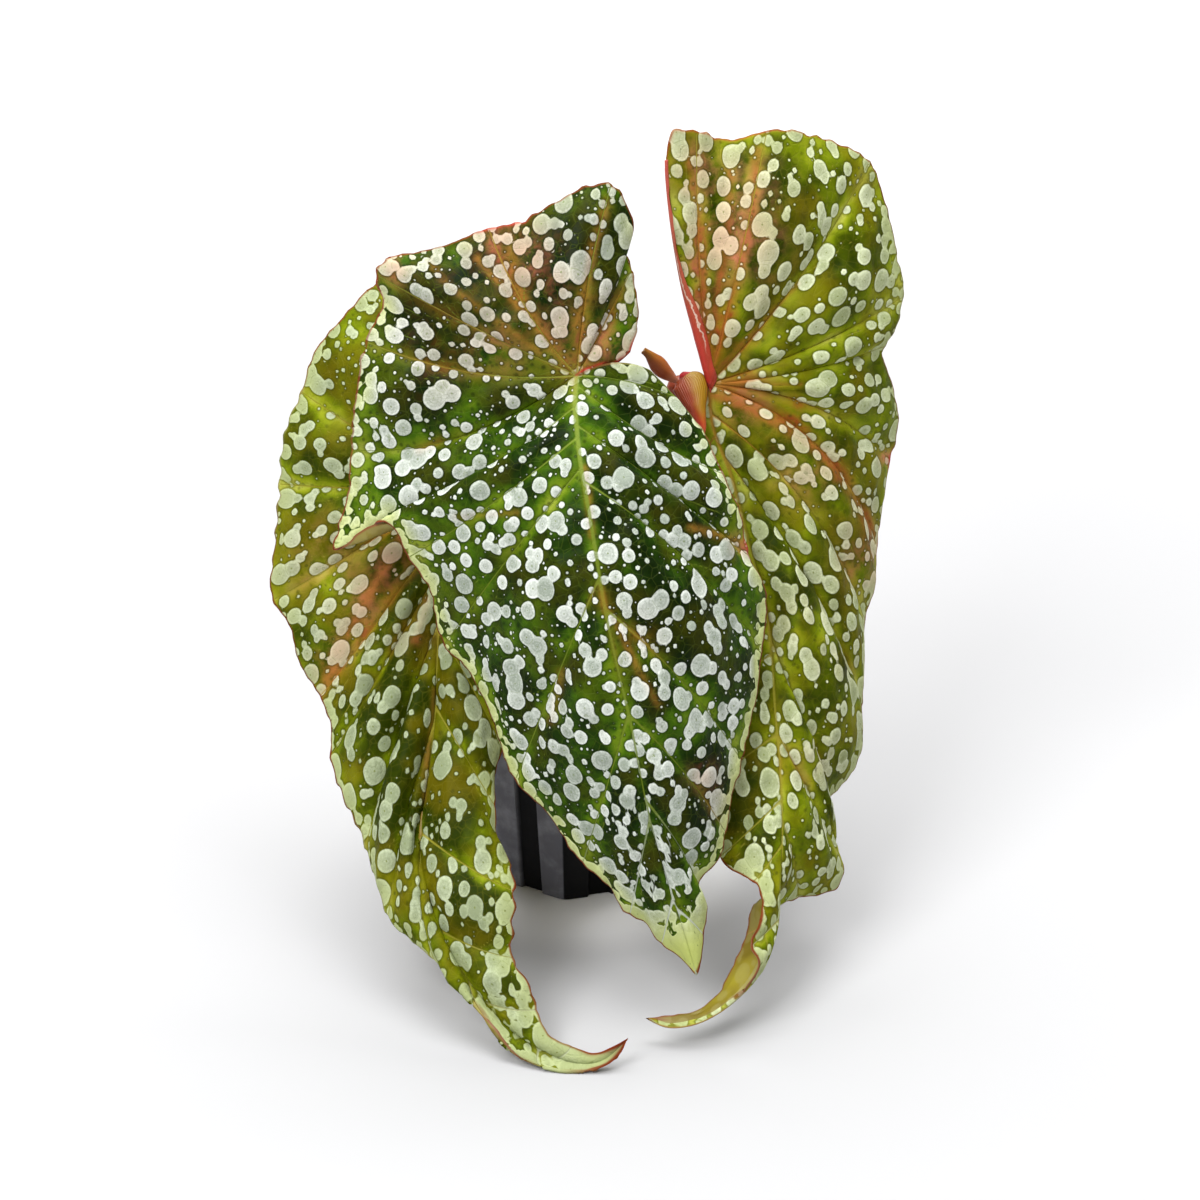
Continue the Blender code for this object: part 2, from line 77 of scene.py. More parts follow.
# shader maths: a socket that takes part in Python sums, each of which adds a Math node
class Wire:
    def __init__(self, tree, socket=None):
        self.tree = tree
        self.socket = socket

    # A new node: its settings first, then the values or wires of its sockets.
    def add(self, kind, settings=None, inputs=None, out=0):
        new = self.tree.nodes.new(kind)
        for name, value in (settings or {}).items():
            if name == "stops":
                stops = new.color_ramp.elements
                while len(stops) < len(value):
                    stops.new(0.5)
                for stop, (place, *colour) in zip(stops, value):
                    stop.position = place
                    stop.color = paint(*colour)
            else:
                setattr(new, name, value)
        self.feed(new, inputs or {})
        return Wire(self.tree, new.outputs[out])

    # Feeds a node's sockets with wires or plain values.
    def feed(self, node, values):
        for key, value in values.items():
            if isinstance(value, Wire):
                self.tree.links.new(value.socket, node.inputs[key])
            else:
                node.inputs[key].default_value = value

    def sum(self, operation, *values):
        return self.add("ShaderNodeMath", {"operation": operation}, dict(enumerate(values)))

    def __add__(self, other):
        return self.sum("ADD", self, other)

    def __sub__(self, other):
        return self.sum("SUBTRACT", self, other)

    def __rsub__(self, other):
        return self.sum("SUBTRACT", other, self)

    def __mul__(self, other):
        return self.sum("MULTIPLY", self, other)

    def __gt__(self, other):
        return self.sum("GREATER_THAN", self, other)

    __radd__ = __add__

    def most(self, other):
        return self.sum("MAXIMUM", self, other)

    def least(self, other):
        return self.sum("MINIMUM", self, other)

    def absolute(self):
        return self.sum("ABSOLUTE", self)

    # Goes smoothly from start to end as the value goes from low to high.
    def ease(self, low, high, start=0.0, end=1.0):
        return self.add(
            "ShaderNodeMapRange",
            {"interpolation_type": "SMOOTHSTEP"},
            {"Value": self, "From Min": low, "From Max": high, "To Min": start, "To Max": end},
        )

    def attribute(self, name):
        return self.add("ShaderNodeAttribute", {"attribute_name": name}, out="Fac")

    def attributes(self, *names):
        return [self.attribute(name) for name in names]

    # Where a point of the object is, stretched along the axes if a scale is given.
    def place(self, *scale):
        here = self.add("ShaderNodeTexCoord", out="Object")
        return self.add("ShaderNodeMapping", {}, {"Vector": here, "Scale": scale}) if scale else here

    def noise(self, place, scale, detail=2.0, roughness=0.5):
        settings = {"noise_dimensions": "3D"}
        inputs = {"Vector": place, "Scale": scale, "Detail": detail, "Roughness": roughness}
        return self.add("ShaderNodeTexNoise", settings, inputs)

    # Cells: the distance to the nearest cell's middle, or to its edge.
    def cells(self, place, scale, randomness, feature="F1"):
        settings = {"voronoi_dimensions": "3D", "feature": feature}
        inputs = {"Vector": place, "Scale": scale, "Randomness": randomness}
        return self.add("ShaderNodeTexVoronoi", settings, inputs)

    def bump(self, strength, distance, height):
        inputs = {"Strength": strength, "Distance": distance, "Height": height}
        return self.add("ShaderNodeBump", {}, inputs)

    def mix(self, amount, first, second, way="MIX"):
        settings = {"data_type": "RGBA", "blend_type": way, "clamp_factor": True}
        return self.add("ShaderNodeMix", settings, {0: amount, 6: first, 7: second}, out=2)


# A colour as the eye reads it, 0 to 255, turned into the light that it sends back.
def paint(red, green, blue):
    parts = [c / 255 for c in (red, green, blue)]
    return (*[c / 12.92 if c <= 0.04045 else ((c + 0.055) / 1.055) ** 2.4 for c in parts], 1.0)


# A new material, its Principled shader and a wire to add nodes with.
def finish(name):
    made = bpy.data.materials.new(name)
    made.use_nodes = True
    return made, made.node_tree.nodes["Principled BSDF"], Wire(made.node_tree)


# Lets a share of the light through a thin sheet, in the given colour.
def letThrough(made, shader, wire, share, colour):
    glow = wire.add("ShaderNodeBsdfTranslucent", {}, {"Color": colour})
    skin = Wire(wire.tree, shader.outputs[0])
    both = wire.add("ShaderNodeMixShader", {}, {0: share, 1: skin, 2: glow})
    wire.feed(made.node_tree.nodes["Material Output"], {"Surface": both})


# curves and surfaces
# How far along a line each of its points is, from 0 to 1.
def stepsAlong(points):
    steps = np.linalg.norm(np.diff(points, axis=0), axis=1)
    total = np.concatenate([[0.0], np.cumsum(steps)])
    return total / total[-1]


# A cubic through the points whose slopes come from their neighbours, read at where.
def smoothLine(points, knots, where):
    slopes = np.gradient(points, knots, axis=0)
    piece = np.clip(np.searchsorted(knots, where, side="right") - 1, 0, len(knots) - 2)
    span = (knots[piece + 1] - knots[piece])[:, None]
    t = (where - knots[piece])[:, None] / span
    return (
        (2 * t**3 - 3 * t**2 + 1) * points[piece]
        + (t**3 - 2 * t**2 + t) * span * slopes[piece]
        + (3 * t**2 - 2 * t**3) * points[piece + 1]
        + (t**3 - t**2) * span * slopes[piece + 1]
    )


# The values with evenly spaced ones put between them, as many as each gap asks.
def filled(values, gaps):
    runs = [np.linspace(a, b, n, endpoint=False) for a, b, n in zip(values, values[1:], gaps)]
    return np.concatenate([*runs, values[-1:]])


def unit(vectors):
    return vectors / (np.linalg.norm(vectors, axis=-1, keepdims=True) + 1e-12)


# A new object of the scene, with the given mesh, lamp or lens.
def placed(name, data):
    thing = bpy.data.objects.new(name, data)
    bpy.context.scene.collection.objects.link(thing)
    return thing


def meshFrom(name, points, faces, look=None):
    mesh = bpy.data.meshes.new(name)
    mesh.from_pydata(points.tolist(), [], faces if isinstance(faces, list) else faces.tolist())
    mesh.validate()
    mesh.shade_smooth()
    if look:
        mesh.materials.append(look)
    return placed(name, mesh)


# Keeps one value of each name at every point of the mesh, for its material to read.
def keep(mesh, fields):
    for name, values in fields.items():
        field = mesh.attributes.new(name, "FLOAT", "POINT")
        field.data.foreach_set("value", np.asarray(values, np.float32))


# leaves
# Picture points (across, down, in front); the last number of an edge point is where its side
# vein leaves the midrib, from 0 at the stalk to 1 at the tip.
leafFront = {
    "name": "leafFrontBlade",
    "seed": 11,
    # spots: spacing, least and greatest radius, share kept, greatest distance from the edge (mm),
    # and the greatest number in a clump
    "spots": [
        (7.6, 2.2, 3.6, 0.68, 99, 4), (5.2, 1.5, 2.4, 0.60, 99, 4), (3.4, 1.3, 2.3, 0.9, 4.0, 2),
        (3.2, 0.65, 1.2, 0.30, 99, 1),
    ],
    "tipReach": 34.0,                # how far from the tip spots are denser (mm)
    "longSpots": (0.24, 0.06),       # how far spots are drawn out, above the stalk and below it
    # zones: picture point, radius in picture points, strength, and the half if it is one only
    "bare": [
        (612, 195, 45, 1), (560, 210, 50, 1), (500, 228, 50, 1), (440, 248, 50, 1),
        (390, 275, 24, 0.7), (352, 440, 44, 0.75), (362, 350, 36, 0.75), (632, 260, 34, 1),
        (632, 320, 36, 1), (600, 368, 34, 1), (650, 378, 34, 1), (680, 402, 34, 1),
        (742, 546, 20, 1), (710, 460, 40, 0.6),
    ],
    "plain": [(650, 372, 30, 1), (680, 400, 30, 1)],
    # painted shade: darkens the spots on the upper lobe, which faces the top lamp
    "dull": [(520, 285, 110, 1.0)],
    "red": [
        (588, 373, 8, 1.2, "left"), (601, 367, 9, 1.2, "left"), (617, 361, 9, 1.2, "left"),
        (632, 348, 10, 1.2, "left"), (744, 546, 9, 0.6), (385, 286, 14, 0.35),
        (490, 230, 12, 0.45), (515, 224, 12, 0.45),
    ],
    "pink": [
        (526, 256, 25, 1.0), (556, 282, 16, 0.6), (505, 345, 26, 0.6), (565, 330, 30, 0.5),
        (742, 546, 11, 1.2), (702, 776, 13, 0.8), (612, 352, 24, 1.0, "left"), (396, 268, 14, 1.2),
        (500, 236, 20, 0.9),
    ],
    "orange": [
        (580, 335, 42, 0.9, "left"), (500, 280, 60, 0.8), (505, 235, 26, 0.6), (640, 640, 26, 0.5),
        (720, 800, 20, 0.7), (450, 350, 60, 0.6), (604, 600, 14, 0.5), (612, 310, 30, 0.8, "left"),
    ],
    # deep: zones painted darker, painted shade where the blade lies in shadow or faces away from the lamps
    "deep": [
        (650, 470, 70, 0.35), (425, 392, 28, 0.5), (690, 620, 50, 0.3),
        (640, 400, 50, 0.4, "right"), (560, 290, 60, 0.3), (590, 235, 50, 0.65),
        (450, 300, 50, 0.35), (500, 270, 50, 0.4), (660, 820, 80, 0.3),
        (600, 378, 24, 0.5, "right"),
    ],
    # salmon streaks, and dark folds that are painted shade: from and to picture points, radius across,
    # strength
    "streaks": [
        (585, 468, 592, 536, 3.5, 0.7), (614, 620, 642, 677, 3.5, 0.6), (642, 677, 658, 704, 3.5, 0.45),
        (562, 672, 553, 720, 5, 0.4), (690, 528, 742, 542, 4, 0.6), (420, 450, 441, 441, 5, 0.6),
        (456, 516, 517, 513, 4, 0.4), (607, 202, 592, 250, 5, 0.6), (592, 250, 577, 326, 5, 0.9),
        (509, 238, 521, 295, 6, 0.8), (521, 295, 545, 340, 5, 0.8), (478, 259, 512, 298, 4, 0.8),
        (512, 298, 552, 345, 4, 0.7), (430, 262, 448, 286, 4, 0.5), (448, 286, 540, 352, 3.5, 0.5),
    ],
    "folds": [
        (620, 520, 700, 640, 14, 0.3), (500, 640, 560, 760, 12, 0.2), (540, 240, 556, 290, 9, 0.5),
        (556, 290, 566, 330, 7, 0.4),
    ],
    "node": "leaf_front",
    "midrib": [
        (577, 375, 45), (575, 405, 54), (577, 432, 60), (581, 467, 67), (589, 512, 74),
        (597, 560, 81), (605, 610, 87), (617, 665, 92), (630, 720, 97), (647, 806, 103),
        (666, 875, 106), (680, 918, 108), (697, 975, 110),
    ],
    "left": [
        (629, 352, 36, 0), (636, 329, 33, 0), (631, 270, 28, 0), (625, 247, 27, 0),
        (631, 235, 26, 0), (611, 185, 25, 0), (549, 207, 24, 0), (526, 221, 24, 0),
        (489, 229, 23, 0), (449, 245, 22, 0), (376, 274, 20, 0), (383, 300, 21, 0),
        (366, 341, 26, 0), (355, 406, 30, 0), (351, 450, 33, 0), (349, 490, 36, 0.03),
        (335, 550, 40, 0.06), (372, 525, 46, 0.08), (389, 523, 50, 0.09), (409, 557, 52, 0.11),
        (430, 587, 53, 0.13), (445, 644, 58, 0.16), (469, 670, 62, 0.19), (494, 720, 70, 0.25),
        (516, 780, 78, 0.33), (549, 813, 84, 0.43), (583, 863, 91, 0.55), (609, 885, 95, 0.63),
        (630, 915, 99, 0.72), (644, 921, 100, 0.77), (662, 944, 103, 0.86), (683, 959, 107, 0.94),
        (697, 975, 110, 1),
    ],
    "right": [
        (649, 371, 36, 0), (674, 397, 38, 0), (703, 433, 42, 0), (722, 474, 46, 0.02),
        (739, 514, 50, 0.06), (748, 556, 53, 0.09), (764, 590, 54, 0.12), (766, 606, 55, 0.13),
        (761, 650, 61, 0.18), (757, 688, 66, 0.24), (748, 729, 73, 0.31), (741, 761, 79, 0.38),
        (732, 794, 84, 0.46), (725, 833, 90, 0.55), (719, 858, 94, 0.61), (698, 885, 100, 0.69),
        (706, 906, 103, 0.77), (703, 935, 106, 0.88), (700, 961, 109, 0.96), (697, 975, 110, 1),
    ],
    "bend": {
        "left": [
            (0, 0.6, 1.5, 1), (5, -2, 0, 3), (8, -1.5, 1, 5), (10, 0, -1, 5), (12, 0, 3, 4),
            (14, 0, 6, 4), (21, -1, -2, 5), (26, 0, -1, 3), (32, 0, 0, 0),
        ],
        "right": [(0, 0, -3.5, 1), (3, 0, 1, 4), (8, 3, -5, 5), (13, 2, -2, 3), (19, 0, 0, 0)],
    },
    "ribs": {
        "left": [2, 5, 8, 10, 12, 14, 16, 19, 21, 24, 26, 28, 30],
        "right": [1, 3, 5, 8, 11, 13, 15, 17],
    },
    "pleat": 0.13,
}
leafLeft = {
    "name": "leafLeftBlade",
    "seed": 23,
    "spots": [
        (8.2, 2.3, 3.8, 0.60, 99, 4), (5.4, 1.6, 2.5, 0.54, 99, 4), (4.0, 1.4, 2.6, 0.9, 5.0, 2),
        (3.8, 0.65, 1.1, 0.20, 99, 1),
    ],
    "tipReach": 45.0,
    "longSpots": (0.26, 0.30),
    "bare": [(395, 275, 40, 1), (350, 320, 30, 0.5), (300, 655, 40, 0.8), (282, 560, 40, 0.5)],
    "plain": [
        (369, 870, 40, 1), (400, 930, 40, 1), (440, 985, 45, 1), (500, 1050, 36, 1),
        (550, 1075, 26, 1), (290, 450, 70, 0.7),
    ],
    "dull": [],
    "red": [(616, 1049, 15, 0.9), (590, 1056, 12, 0.7)],
    "pink": [(330, 560, 40, 0.4), (388, 566, 15, 1.1), (364, 604, 15, 1.0), (340, 648, 14, 0.9)],
    "orange": [
        (395, 550, 24, 1.4), (374, 588, 22, 1.4), (352, 625, 22, 1.3), (330, 668, 20, 1.1),
        (405, 640, 22, 0.6),
    ],
    # deep: zones painted darker, painted shade where the blade lies in shadow
    "deep": [
        (440, 630, 50, 0.6), (410, 720, 60, 0.55), (440, 810, 60, 0.5), (470, 560, 60, 0.45),
        (470, 930, 40, 0.35), (345, 760, 40, 0.2), (500, 1010, 40, 0.3),
    ],
    "streaks": [
        (402, 538, 376, 582, 5, 0.9), (376, 582, 348, 634, 6, 0.9), (348, 634, 322, 694, 5, 0.8),
        (428, 600, 415, 640, 5, 0.5), (434, 690, 424, 800, 3, 0.4),
    ],
    # folds: painted shade along the shaded side of each fold
    "folds": [
        (412, 590, 392, 690, 10, 0.55), (392, 690, 362, 762, 9, 0.5), (428, 725, 414, 832, 8, 0.55),
        (414, 832, 432, 905, 7, 0.5), (448, 600, 441, 700, 7, 0.5), (470, 640, 468, 730, 8, 0.5),
        (455, 840, 482, 930, 6, 0.5), (340, 520, 372, 500, 12, 0.2), (482, 760, 486, 850, 6, 0.4),
    ],
    "node": "leaf_left",
    "midrib": [
        (450, 485, 10), (446, 540, 22), (440, 600, 33), (437, 665, 46), (434, 729, 58),
        (426, 788, 70), (420, 828, 78), (423, 877, 87), (434, 915, 95), (450, 950, 102),
        (475, 988, 110), (505, 1024, 118), (540, 1048, 124), (568, 1061, 128), (600, 1061, 129),
        (628, 1038, 128),
    ],
    "left": [
        (470, 440, 2, 0), (450, 350, -8, 0), (430, 300, -12, 0), (405, 268, -12, 0),
        (383, 279, -10, 0), (341, 320, -6, 0), (315, 353, -5, 0), (302, 392, -2, 0),
        (288, 425, 0, 0), (280, 484, 5, 0), (277, 529, 10, 0), (274, 600, 20, 0),
        (291, 628, 26, 0.01), (299, 658, 30, 0.03), (320, 697, 38, 0.05), (333, 729, 45, 0.08),
        (331, 757, 50, 0.11), (347, 802, 60, 0.15), (366, 846, 70, 0.20), (378, 883, 80, 0.27),
        (389, 917, 89, 0.34), (415, 942, 96, 0.43), (435, 960, 102, 0.50), (469, 996, 112, 0.62),
        (494, 1026, 121, 0.72), (523, 1059, 128, 0.82), (541, 1067, 130.5, 0.86),
        (567, 1072, 131.8, 0.91), (603, 1067, 131.6, 0.96), (619, 1055, 130, 0.985),
        (628, 1038, 128, 1),
    ],
    "right": [
        (482, 462, 5, 0), (505, 500, 10, 0), (524, 560, 19, 0), (528, 610, 28, 0.03),
        (522, 660, 40, 0.08), (512, 706, 51, 0.14), (502, 748, 60, 0.21), (493, 776, 67, 0.26),
        (495, 808, 75, 0.32), (497, 840, 82, 0.38), (508, 861, 88, 0.43), (515, 892, 97, 0.50),
        (512, 925, 103, 0.57), (513, 958, 108, 0.64), (529, 987, 114, 0.71), (537, 1010, 118, 0.76),
        (551, 1037, 124, 0.85), (572, 1047, 126, 0.89), (594, 1054, 128, 0.94),
        (614, 1046, 129, 0.98), (628, 1038, 128, 1),
    ],
    "bend": {
        "left": [
            (0, 0, 0, 1), (4, 0, -3, 7), (9, 0, -2, 7), (14, 0, 0, 5), (20, -2, 1, 3),
            (25, -1, 1, 1), (30, 0, 0, 0),
        ],
        "right": [(0, 1, -1, 1), (4, 2, -1, 4), (10, 1, 0, 4), (15, 0, 0, 2), (20, 0, 0, 0)],
    },
    "ribs": {
        "left": [2, 4, 7, 9, 11, 14, 16, 18, 20, 22, 24, 26],
        "right": [2, 4, 6, 8, 11, 13, 15, 17],
    },
    "pleat": 0.21,
}
leafRight = {
    "name": "leafRightBlade",
    "seed": 37,
    "spots": [
        (7.6, 2.4, 3.9, 0.90, 99, 4), (5.4, 1.7, 2.6, 0.85, 99, 4), (4.0, 1.4, 2.6, 0.9, 5.0, 2),
        (3.8, 0.65, 1.1, 0.20, 99, 1),
    ],
    "tipReach": 45.0,
    "longSpots": (0.26, 0.30),
    "bare": [
        (675, 150, 40, 1), (730, 138, 50, 1), (800, 138, 50, 0.8), (860, 160, 30, 0.6),
        (672, 210, 50, 1), (684, 290, 50, 1), (698, 370, 40, 1), (885, 460, 30, 1),
        (872, 560, 50, 0.7), (735, 992, 26, 0.8), (700, 1016, 36, 1.1), (660, 1022, 36, 1.1),
    ],
    "plain": [(895, 300, 60, 0.6), (850, 800, 50, 0.4)],
    "dull": [],
    "red": [(889, 460, 10, 1.0), (735, 138, 50, 0.25), (874, 560, 34, 0.3), (672, 150, 30, 0.3)],
    "pink": [
        (738, 240, 38, 1.0), (700, 170, 26, 0.8), (735, 200, 40, 0.8), (800, 480, 26, 0.6),
        (745, 405, 20, 0.7), (860, 560, 22, 0.7), (889, 460, 9, 1.6), (698, 310, 13, 1.1),
        (693, 262, 12, 0.8),
    ],
    "orange": [
        (718, 330, 40, 1.2), (708, 240, 30, 1.0), (742, 330, 26, 0.9), (745, 395, 26, 1.2),
        (790, 425, 28, 1.2), (830, 465, 24, 1.0), (858, 520, 22, 0.9), (868, 570, 20, 0.8),
        (800, 620, 30, 0.4), (810, 760, 26, 0.6), (835, 660, 26, 0.4), (760, 300, 20, 0.6),
        (701, 335, 13, 1.5), (697, 300, 13, 1.5), (693, 265, 12, 1.3), (690, 230, 11, 1.0),
        (686, 190, 10, 0.9),
    ],
    # deep: zones painted darker, painted shade where the blade lies in shadow
    "deep": [
        (745, 760, 45, 0.6), (735, 830, 36, 0.6), (756, 700, 40, 0.45), (715, 600, 40, 0.4, "left"),
        (715, 520, 40, 0.35), (755, 230, 26, 0.35), (730, 360, 20, 0.4), (765, 460, 30, 0.3),
    ],
    "streaks": [
        (710, 394, 748, 408, 4.5, 0.9), (748, 408, 793, 434, 5, 0.9), (793, 434, 825, 457, 6, 0.9),
        (825, 457, 846, 482, 7, 0.85), (846, 482, 866, 518, 7, 0.75), (866, 518, 874, 550, 8, 0.6),
        (707, 372, 705, 300, 4, 0.95), (705, 300, 700, 230, 4.5, 0.9), (700, 230, 688, 160, 4, 0.7),
        (713, 330, 728, 230, 4.5, 0.9), (728, 230, 730, 172, 5, 0.7), (732, 300, 752, 226, 5, 0.7),
        (752, 226, 758, 150, 5, 0.7), (709, 377, 798, 284, 2.6, 0.6), (711, 385, 800, 384, 2.5, 0.4),
    ],
    # folds: painted shade along the shaded side of each fold
    "folds": [
        (694, 145, 712, 205, 8, 0.6), (740, 150, 742, 200, 5, 0.4), (770, 140, 772, 240, 14, 0.5),
        (712, 290, 720, 350, 5, 0.4), (738, 440, 776, 560, 9, 0.35), (776, 560, 790, 660, 8, 0.35),
        (799, 572, 814, 668, 8, 0.4), (838, 560, 846, 668, 8, 0.3), (740, 350, 790, 372, 7, 0.3),
    ],
    "node": "leaf_right",
    "midrib": [
        (709, 384, 10), (711, 416, 13), (733, 481, 22), (748, 540, 33), (765, 600, 43),
        (772, 655, 51), (775, 710, 60), (780, 772, 71), (782, 836, 83), (780, 880, 91),
        (778, 928, 99), (771, 951, 104), (756, 980, 110), (740, 997, 113), (718, 1014, 116),
        (690, 1026, 118), (665, 1027, 118), (646, 1018, 116),
    ],
    "left": [
        (694, 412, 6, 0), (680, 460, 8, 0), (668, 530, 14, 0.07), (664, 600, 26, 0.17),
        (670, 670, 40, 0.28), (680, 730, 54, 0.38), (697, 795, 70, 0.49), (719, 858, 84, 0.58),
        (733, 871, 88, 0.61), (754, 882, 93, 0.64), (763, 903, 98, 0.67), (757, 928, 104, 0.71),
        (750, 947, 108, 0.74), (758, 960, 110, 0.76), (748, 984, 112, 0.80), (730, 1003, 113, 0.84),
        (700, 1019, 115, 0.90), (670, 1022, 115.5, 0.95), (646, 1018, 116, 1),
    ],
    "right": [
        (666, 158, -3, 0), (673, 131, -5, 0), (696, 131, -8, 0), (730, 141, -15, 0),
        (767, 131, -12, 0),
        (831, 142, -22, 0), (869, 162, -27, 0), (879, 185, -28, 0), (893, 242, -24, 0),
        (902, 297, -20, 0), (893, 332, -14, 0), (883, 346, -12, 0), (891, 385, -14, 0),
        (897, 421, -14, 0), (889, 460, -10, 0), (880, 512, -5, 0), (876, 546, 0, 0),
        (874, 585, 7, 0.02), (864, 620, 14, 0.04), (863, 660, 21, 0.06), (861, 708, 30, 0.10),
        (860, 751, 38, 0.19), (851, 772, 42, 0.26), (826, 810, 55, 0.36), (832, 824, 57, 0.40),
        (834, 851, 60, 0.45), (843, 868, 63, 0.49), (837, 885, 67, 0.53), (819, 894, 71, 0.57),
        (798, 897, 75, 0.61), (775, 905, 81, 0.65), (753, 905, 88, 0.69), (746, 935, 94, 0.73),
        (735, 960, 100, 0.77), (718, 993, 107, 0.83), (697, 1010, 111, 0.88),
        (668, 1016, 114, 0.95), (646, 1018, 116, 1),
    ],
    "bend": {
        "left": [(0, 0, 0, 1), (4, -2, -1, 2), (8, 0, 0, 1), (12, 0, 0, 0), (18, 0, 0, 0)],
        "right": [
            (0, -1.8, 0, 0), (4, 0, 0, 7), (6, 2, -1, 9), (11, 1, -2, 10), (14, 4, -9, 9),
            (16, 6, -11, 8), (20, 4, -4, 7), (23, 1, -1, 5), (27, 1, 0, 3), (31, 1, 0, 1),
            (37, 0, 0, 0),
        ],
    },
    "ribs": {
        "left": [1, 2, 3, 4, 5, 6, 7, 9, 12],
        "right": [2, 4, 6, 9, 11, 14, 16, 18, 20, 23, 26, 29, 32],
    },
    "pleat": 0.21,
}
leafMake = {
    "thickness": 0.0005,
    "edgeStep": 0.00125,       # length of edge between two rows
    "columns": 80,            # from the midrib to the edge
    "toothHeight": 0.0005,
    "toothLength": 0.0052,
    "veinDepth": 0.0003,
    "quilting": ((0.012, 0.0005), (0.005, 0.00018)),      # length and height of the swellings
    "forkStart": 0.52,        # where side veins fork, from the midrib to the edge
    "forkSpread": 0.40,       # how far a fork leads towards the next vein
    "forkEnd": 0.97,
    "forkPoints": 9,
    "forkBend": 0.8,          # below 1, a fork turns away from its vein at once
    "facing": (0.0, -1.0, 0.45),          # roughly where every blade's upper face looks
    "pleatSpan": 0.4,         # a pleat's greatest width, in widths of the half blade
    "pleatRise": 0.25,        # where it reaches full height, from the midrib to the edge
    "toothRoom": 0.012,       # teeth are lower where the half blade is narrower than this
    "toothZone": (0.9, 0.1),  # where teeth begin, from the midrib to the edge, and over what width
    "midribPoints": 60,
    "swellFade": (4.0, 3.0, 0.3),         # fade near veins and near the edge (mm), and what is left
    "veinFade": (1.4, 2.0),   # a sunk vein's spread in half widths, and its fade at the edge (mm)
    "thicknessSide": 0.9,     # on which side of the drawn face the thickness lies, from -1 to 1
}
veinWidths = {"midrib": (0.78, 0.24), "rib": (0.46, 0.17), "fork": (0.24, 0.11)}    # half, in mm


def bladeEdge(leaf, side):
    table = np.asarray(leaf[side], float)
    edge = seenAt(table[:, :3])
    return table, edge, stepsAlong(edge), int(np.sum(table[:, 3] == 0.0)) - 1


# Where rows leave the midrib: at each drawn point's side vein, and evenly between.
def sharedRoots(leaf):
    roots = np.array(sorted({point[3] for side in ("left", "right") for point in leaf[side]}))
    longest = np.zeros(len(roots) - 1)
    for side in ("left", "right"):
        table, edge, knots, fan = bladeEdge(leaf, side)
        places = smoothLine(edge, knots, np.interp(roots, table[fan:, 3], knots[fan:]))
        longest = np.maximum(longest, np.linalg.norm(np.diff(places, axis=0), axis=1))
    return filled(roots, np.ceil(longest / leafMake["edgeStep"]).astype(int))


# Smooth ups and downs of about the given length: a sum of sines whose directions and starts
# come from the seed, from about -1 to 1.
rippleMake = {"waves": 9, "lengths": (0.7, 1.5), "height": 3.5}


def ripple(places, length, seed):
    draw = np.random.default_rng(seed)
    total = np.zeros(len(places))
    for _ in range(rippleMake["waves"]):
        heading = unit(draw.normal(size=places.shape[1]))
        wave = 2 * math.pi / (length * draw.uniform(*rippleMake["lengths"]))
        total += np.sin(wave * (places @ heading) + draw.uniform(0, 2 * math.pi))
    return total / rippleMake["height"]


# Half of a blade as a grid: S(w, u) = (1 - u) midrib + u edge + 4u(1 - u) bend, plus a pleat that
# rises as a half sine between neighbouring veins, in proportion to the gap between them.
def halfBlade(leaf, side, roots):
    table, edge, knots, fan = bladeEdge(leaf, side)
    fanGaps = np.linalg.norm(np.diff(edge[: fan + 1], axis=0), axis=1) / leafMake["edgeStep"]
    fanWhere = filled(knots[: fan + 1], np.ceil(fanGaps).astype(int))[:-1]
    where = np.concatenate([fanWhere, np.interp(roots, table[fan:, 3], knots[fan:])])
    root = np.concatenate([np.zeros(len(fanWhere)), roots])
    midrib = seenAt(leaf["midrib"])
    along = stepsAlong(midrib)
    start = smoothLine(midrib, along, root)
    end = smoothLine(edge, knots, where)

    bend = np.asarray(leaf["bend"][side], float)
    bendKnots = knots[bend[:, 0].astype(int)]
    sag = np.stack([np.interp(where, bendKnots, bend[:, k]) for k in (1, 2, 3)], axis=1)
    sag = mm * np.stack([sag[:, 0], -sag[:, 2], -sag[:, 1]], axis=1)
    u = np.linspace(0.0, 1.0, leafMake["columns"])[None, :, None]
    sheet = (1 - u) * start[:, None] + u * end[:, None] + 4 * u * (1 - u) * sag[:, None]
    facing = np.cross(np.gradient(sheet, axis=1), np.gradient(sheet, axis=0))
    facing[:, 0] = facing[:, 1]
    facing *= np.sign(facing @ leafMake["facing"])[..., None]
    facing = unit(facing)

    ribs = np.concatenate([[0.0], knots[leaf["ribs"][side]], [1.0]])
    piece = np.clip(np.searchsorted(ribs, where, side="right") - 1, 0, len(ribs) - 2)
    phase = ((where - ribs[piece]) / (ribs[piece + 1] - ribs[piece]))[:, None, None]
    ribStarts = smoothLine(midrib, along, np.interp(ribs, knots, table[:, 3]))
    ribEnds = smoothLine(edge, knots, ribs)
    startGap = np.linalg.norm(np.diff(ribStarts, axis=0), axis=1)[piece][:, None, None]
    endGap = np.linalg.norm(np.diff(ribEnds, axis=0), axis=1)[piece][:, None, None]
    width = np.linalg.norm(end - start, axis=1)[:, None, None]
    gap = np.minimum((1 - u) * startGap + u * endGap, leafMake["pleatSpan"] * width)
    fade = np.minimum(1.0, u / leafMake["pleatRise"]) * (1 - u**4)
    sheet = sheet + leaf["pleat"] * gap * np.sin(math.pi * phase) * fade * facing

    length = np.linalg.norm(np.diff(edge, axis=0), axis=1).sum()
    tooth = ripple(np.outer(where * length, [1.0, 0.0]), leafMake["toothLength"], leaf["seed"])
    outward = unit(sheet[:, -1] - sheet[:, -6])[:, None]
    begins, over = leafMake["toothZone"]
    taper = np.minimum(1.0, width / leafMake["toothRoom"]) * np.clip((u - begins) / over, 0, 1) ** 2
    sheet = sheet + leafMake["toothHeight"] * tooth[:, None, None] * taper * outward
    rows = np.searchsorted(where, ribs - 1e-9)
    return {"sheet": sheet, "fan": len(fanWhere), "ribRows": np.minimum(rows, len(where) - 1)}


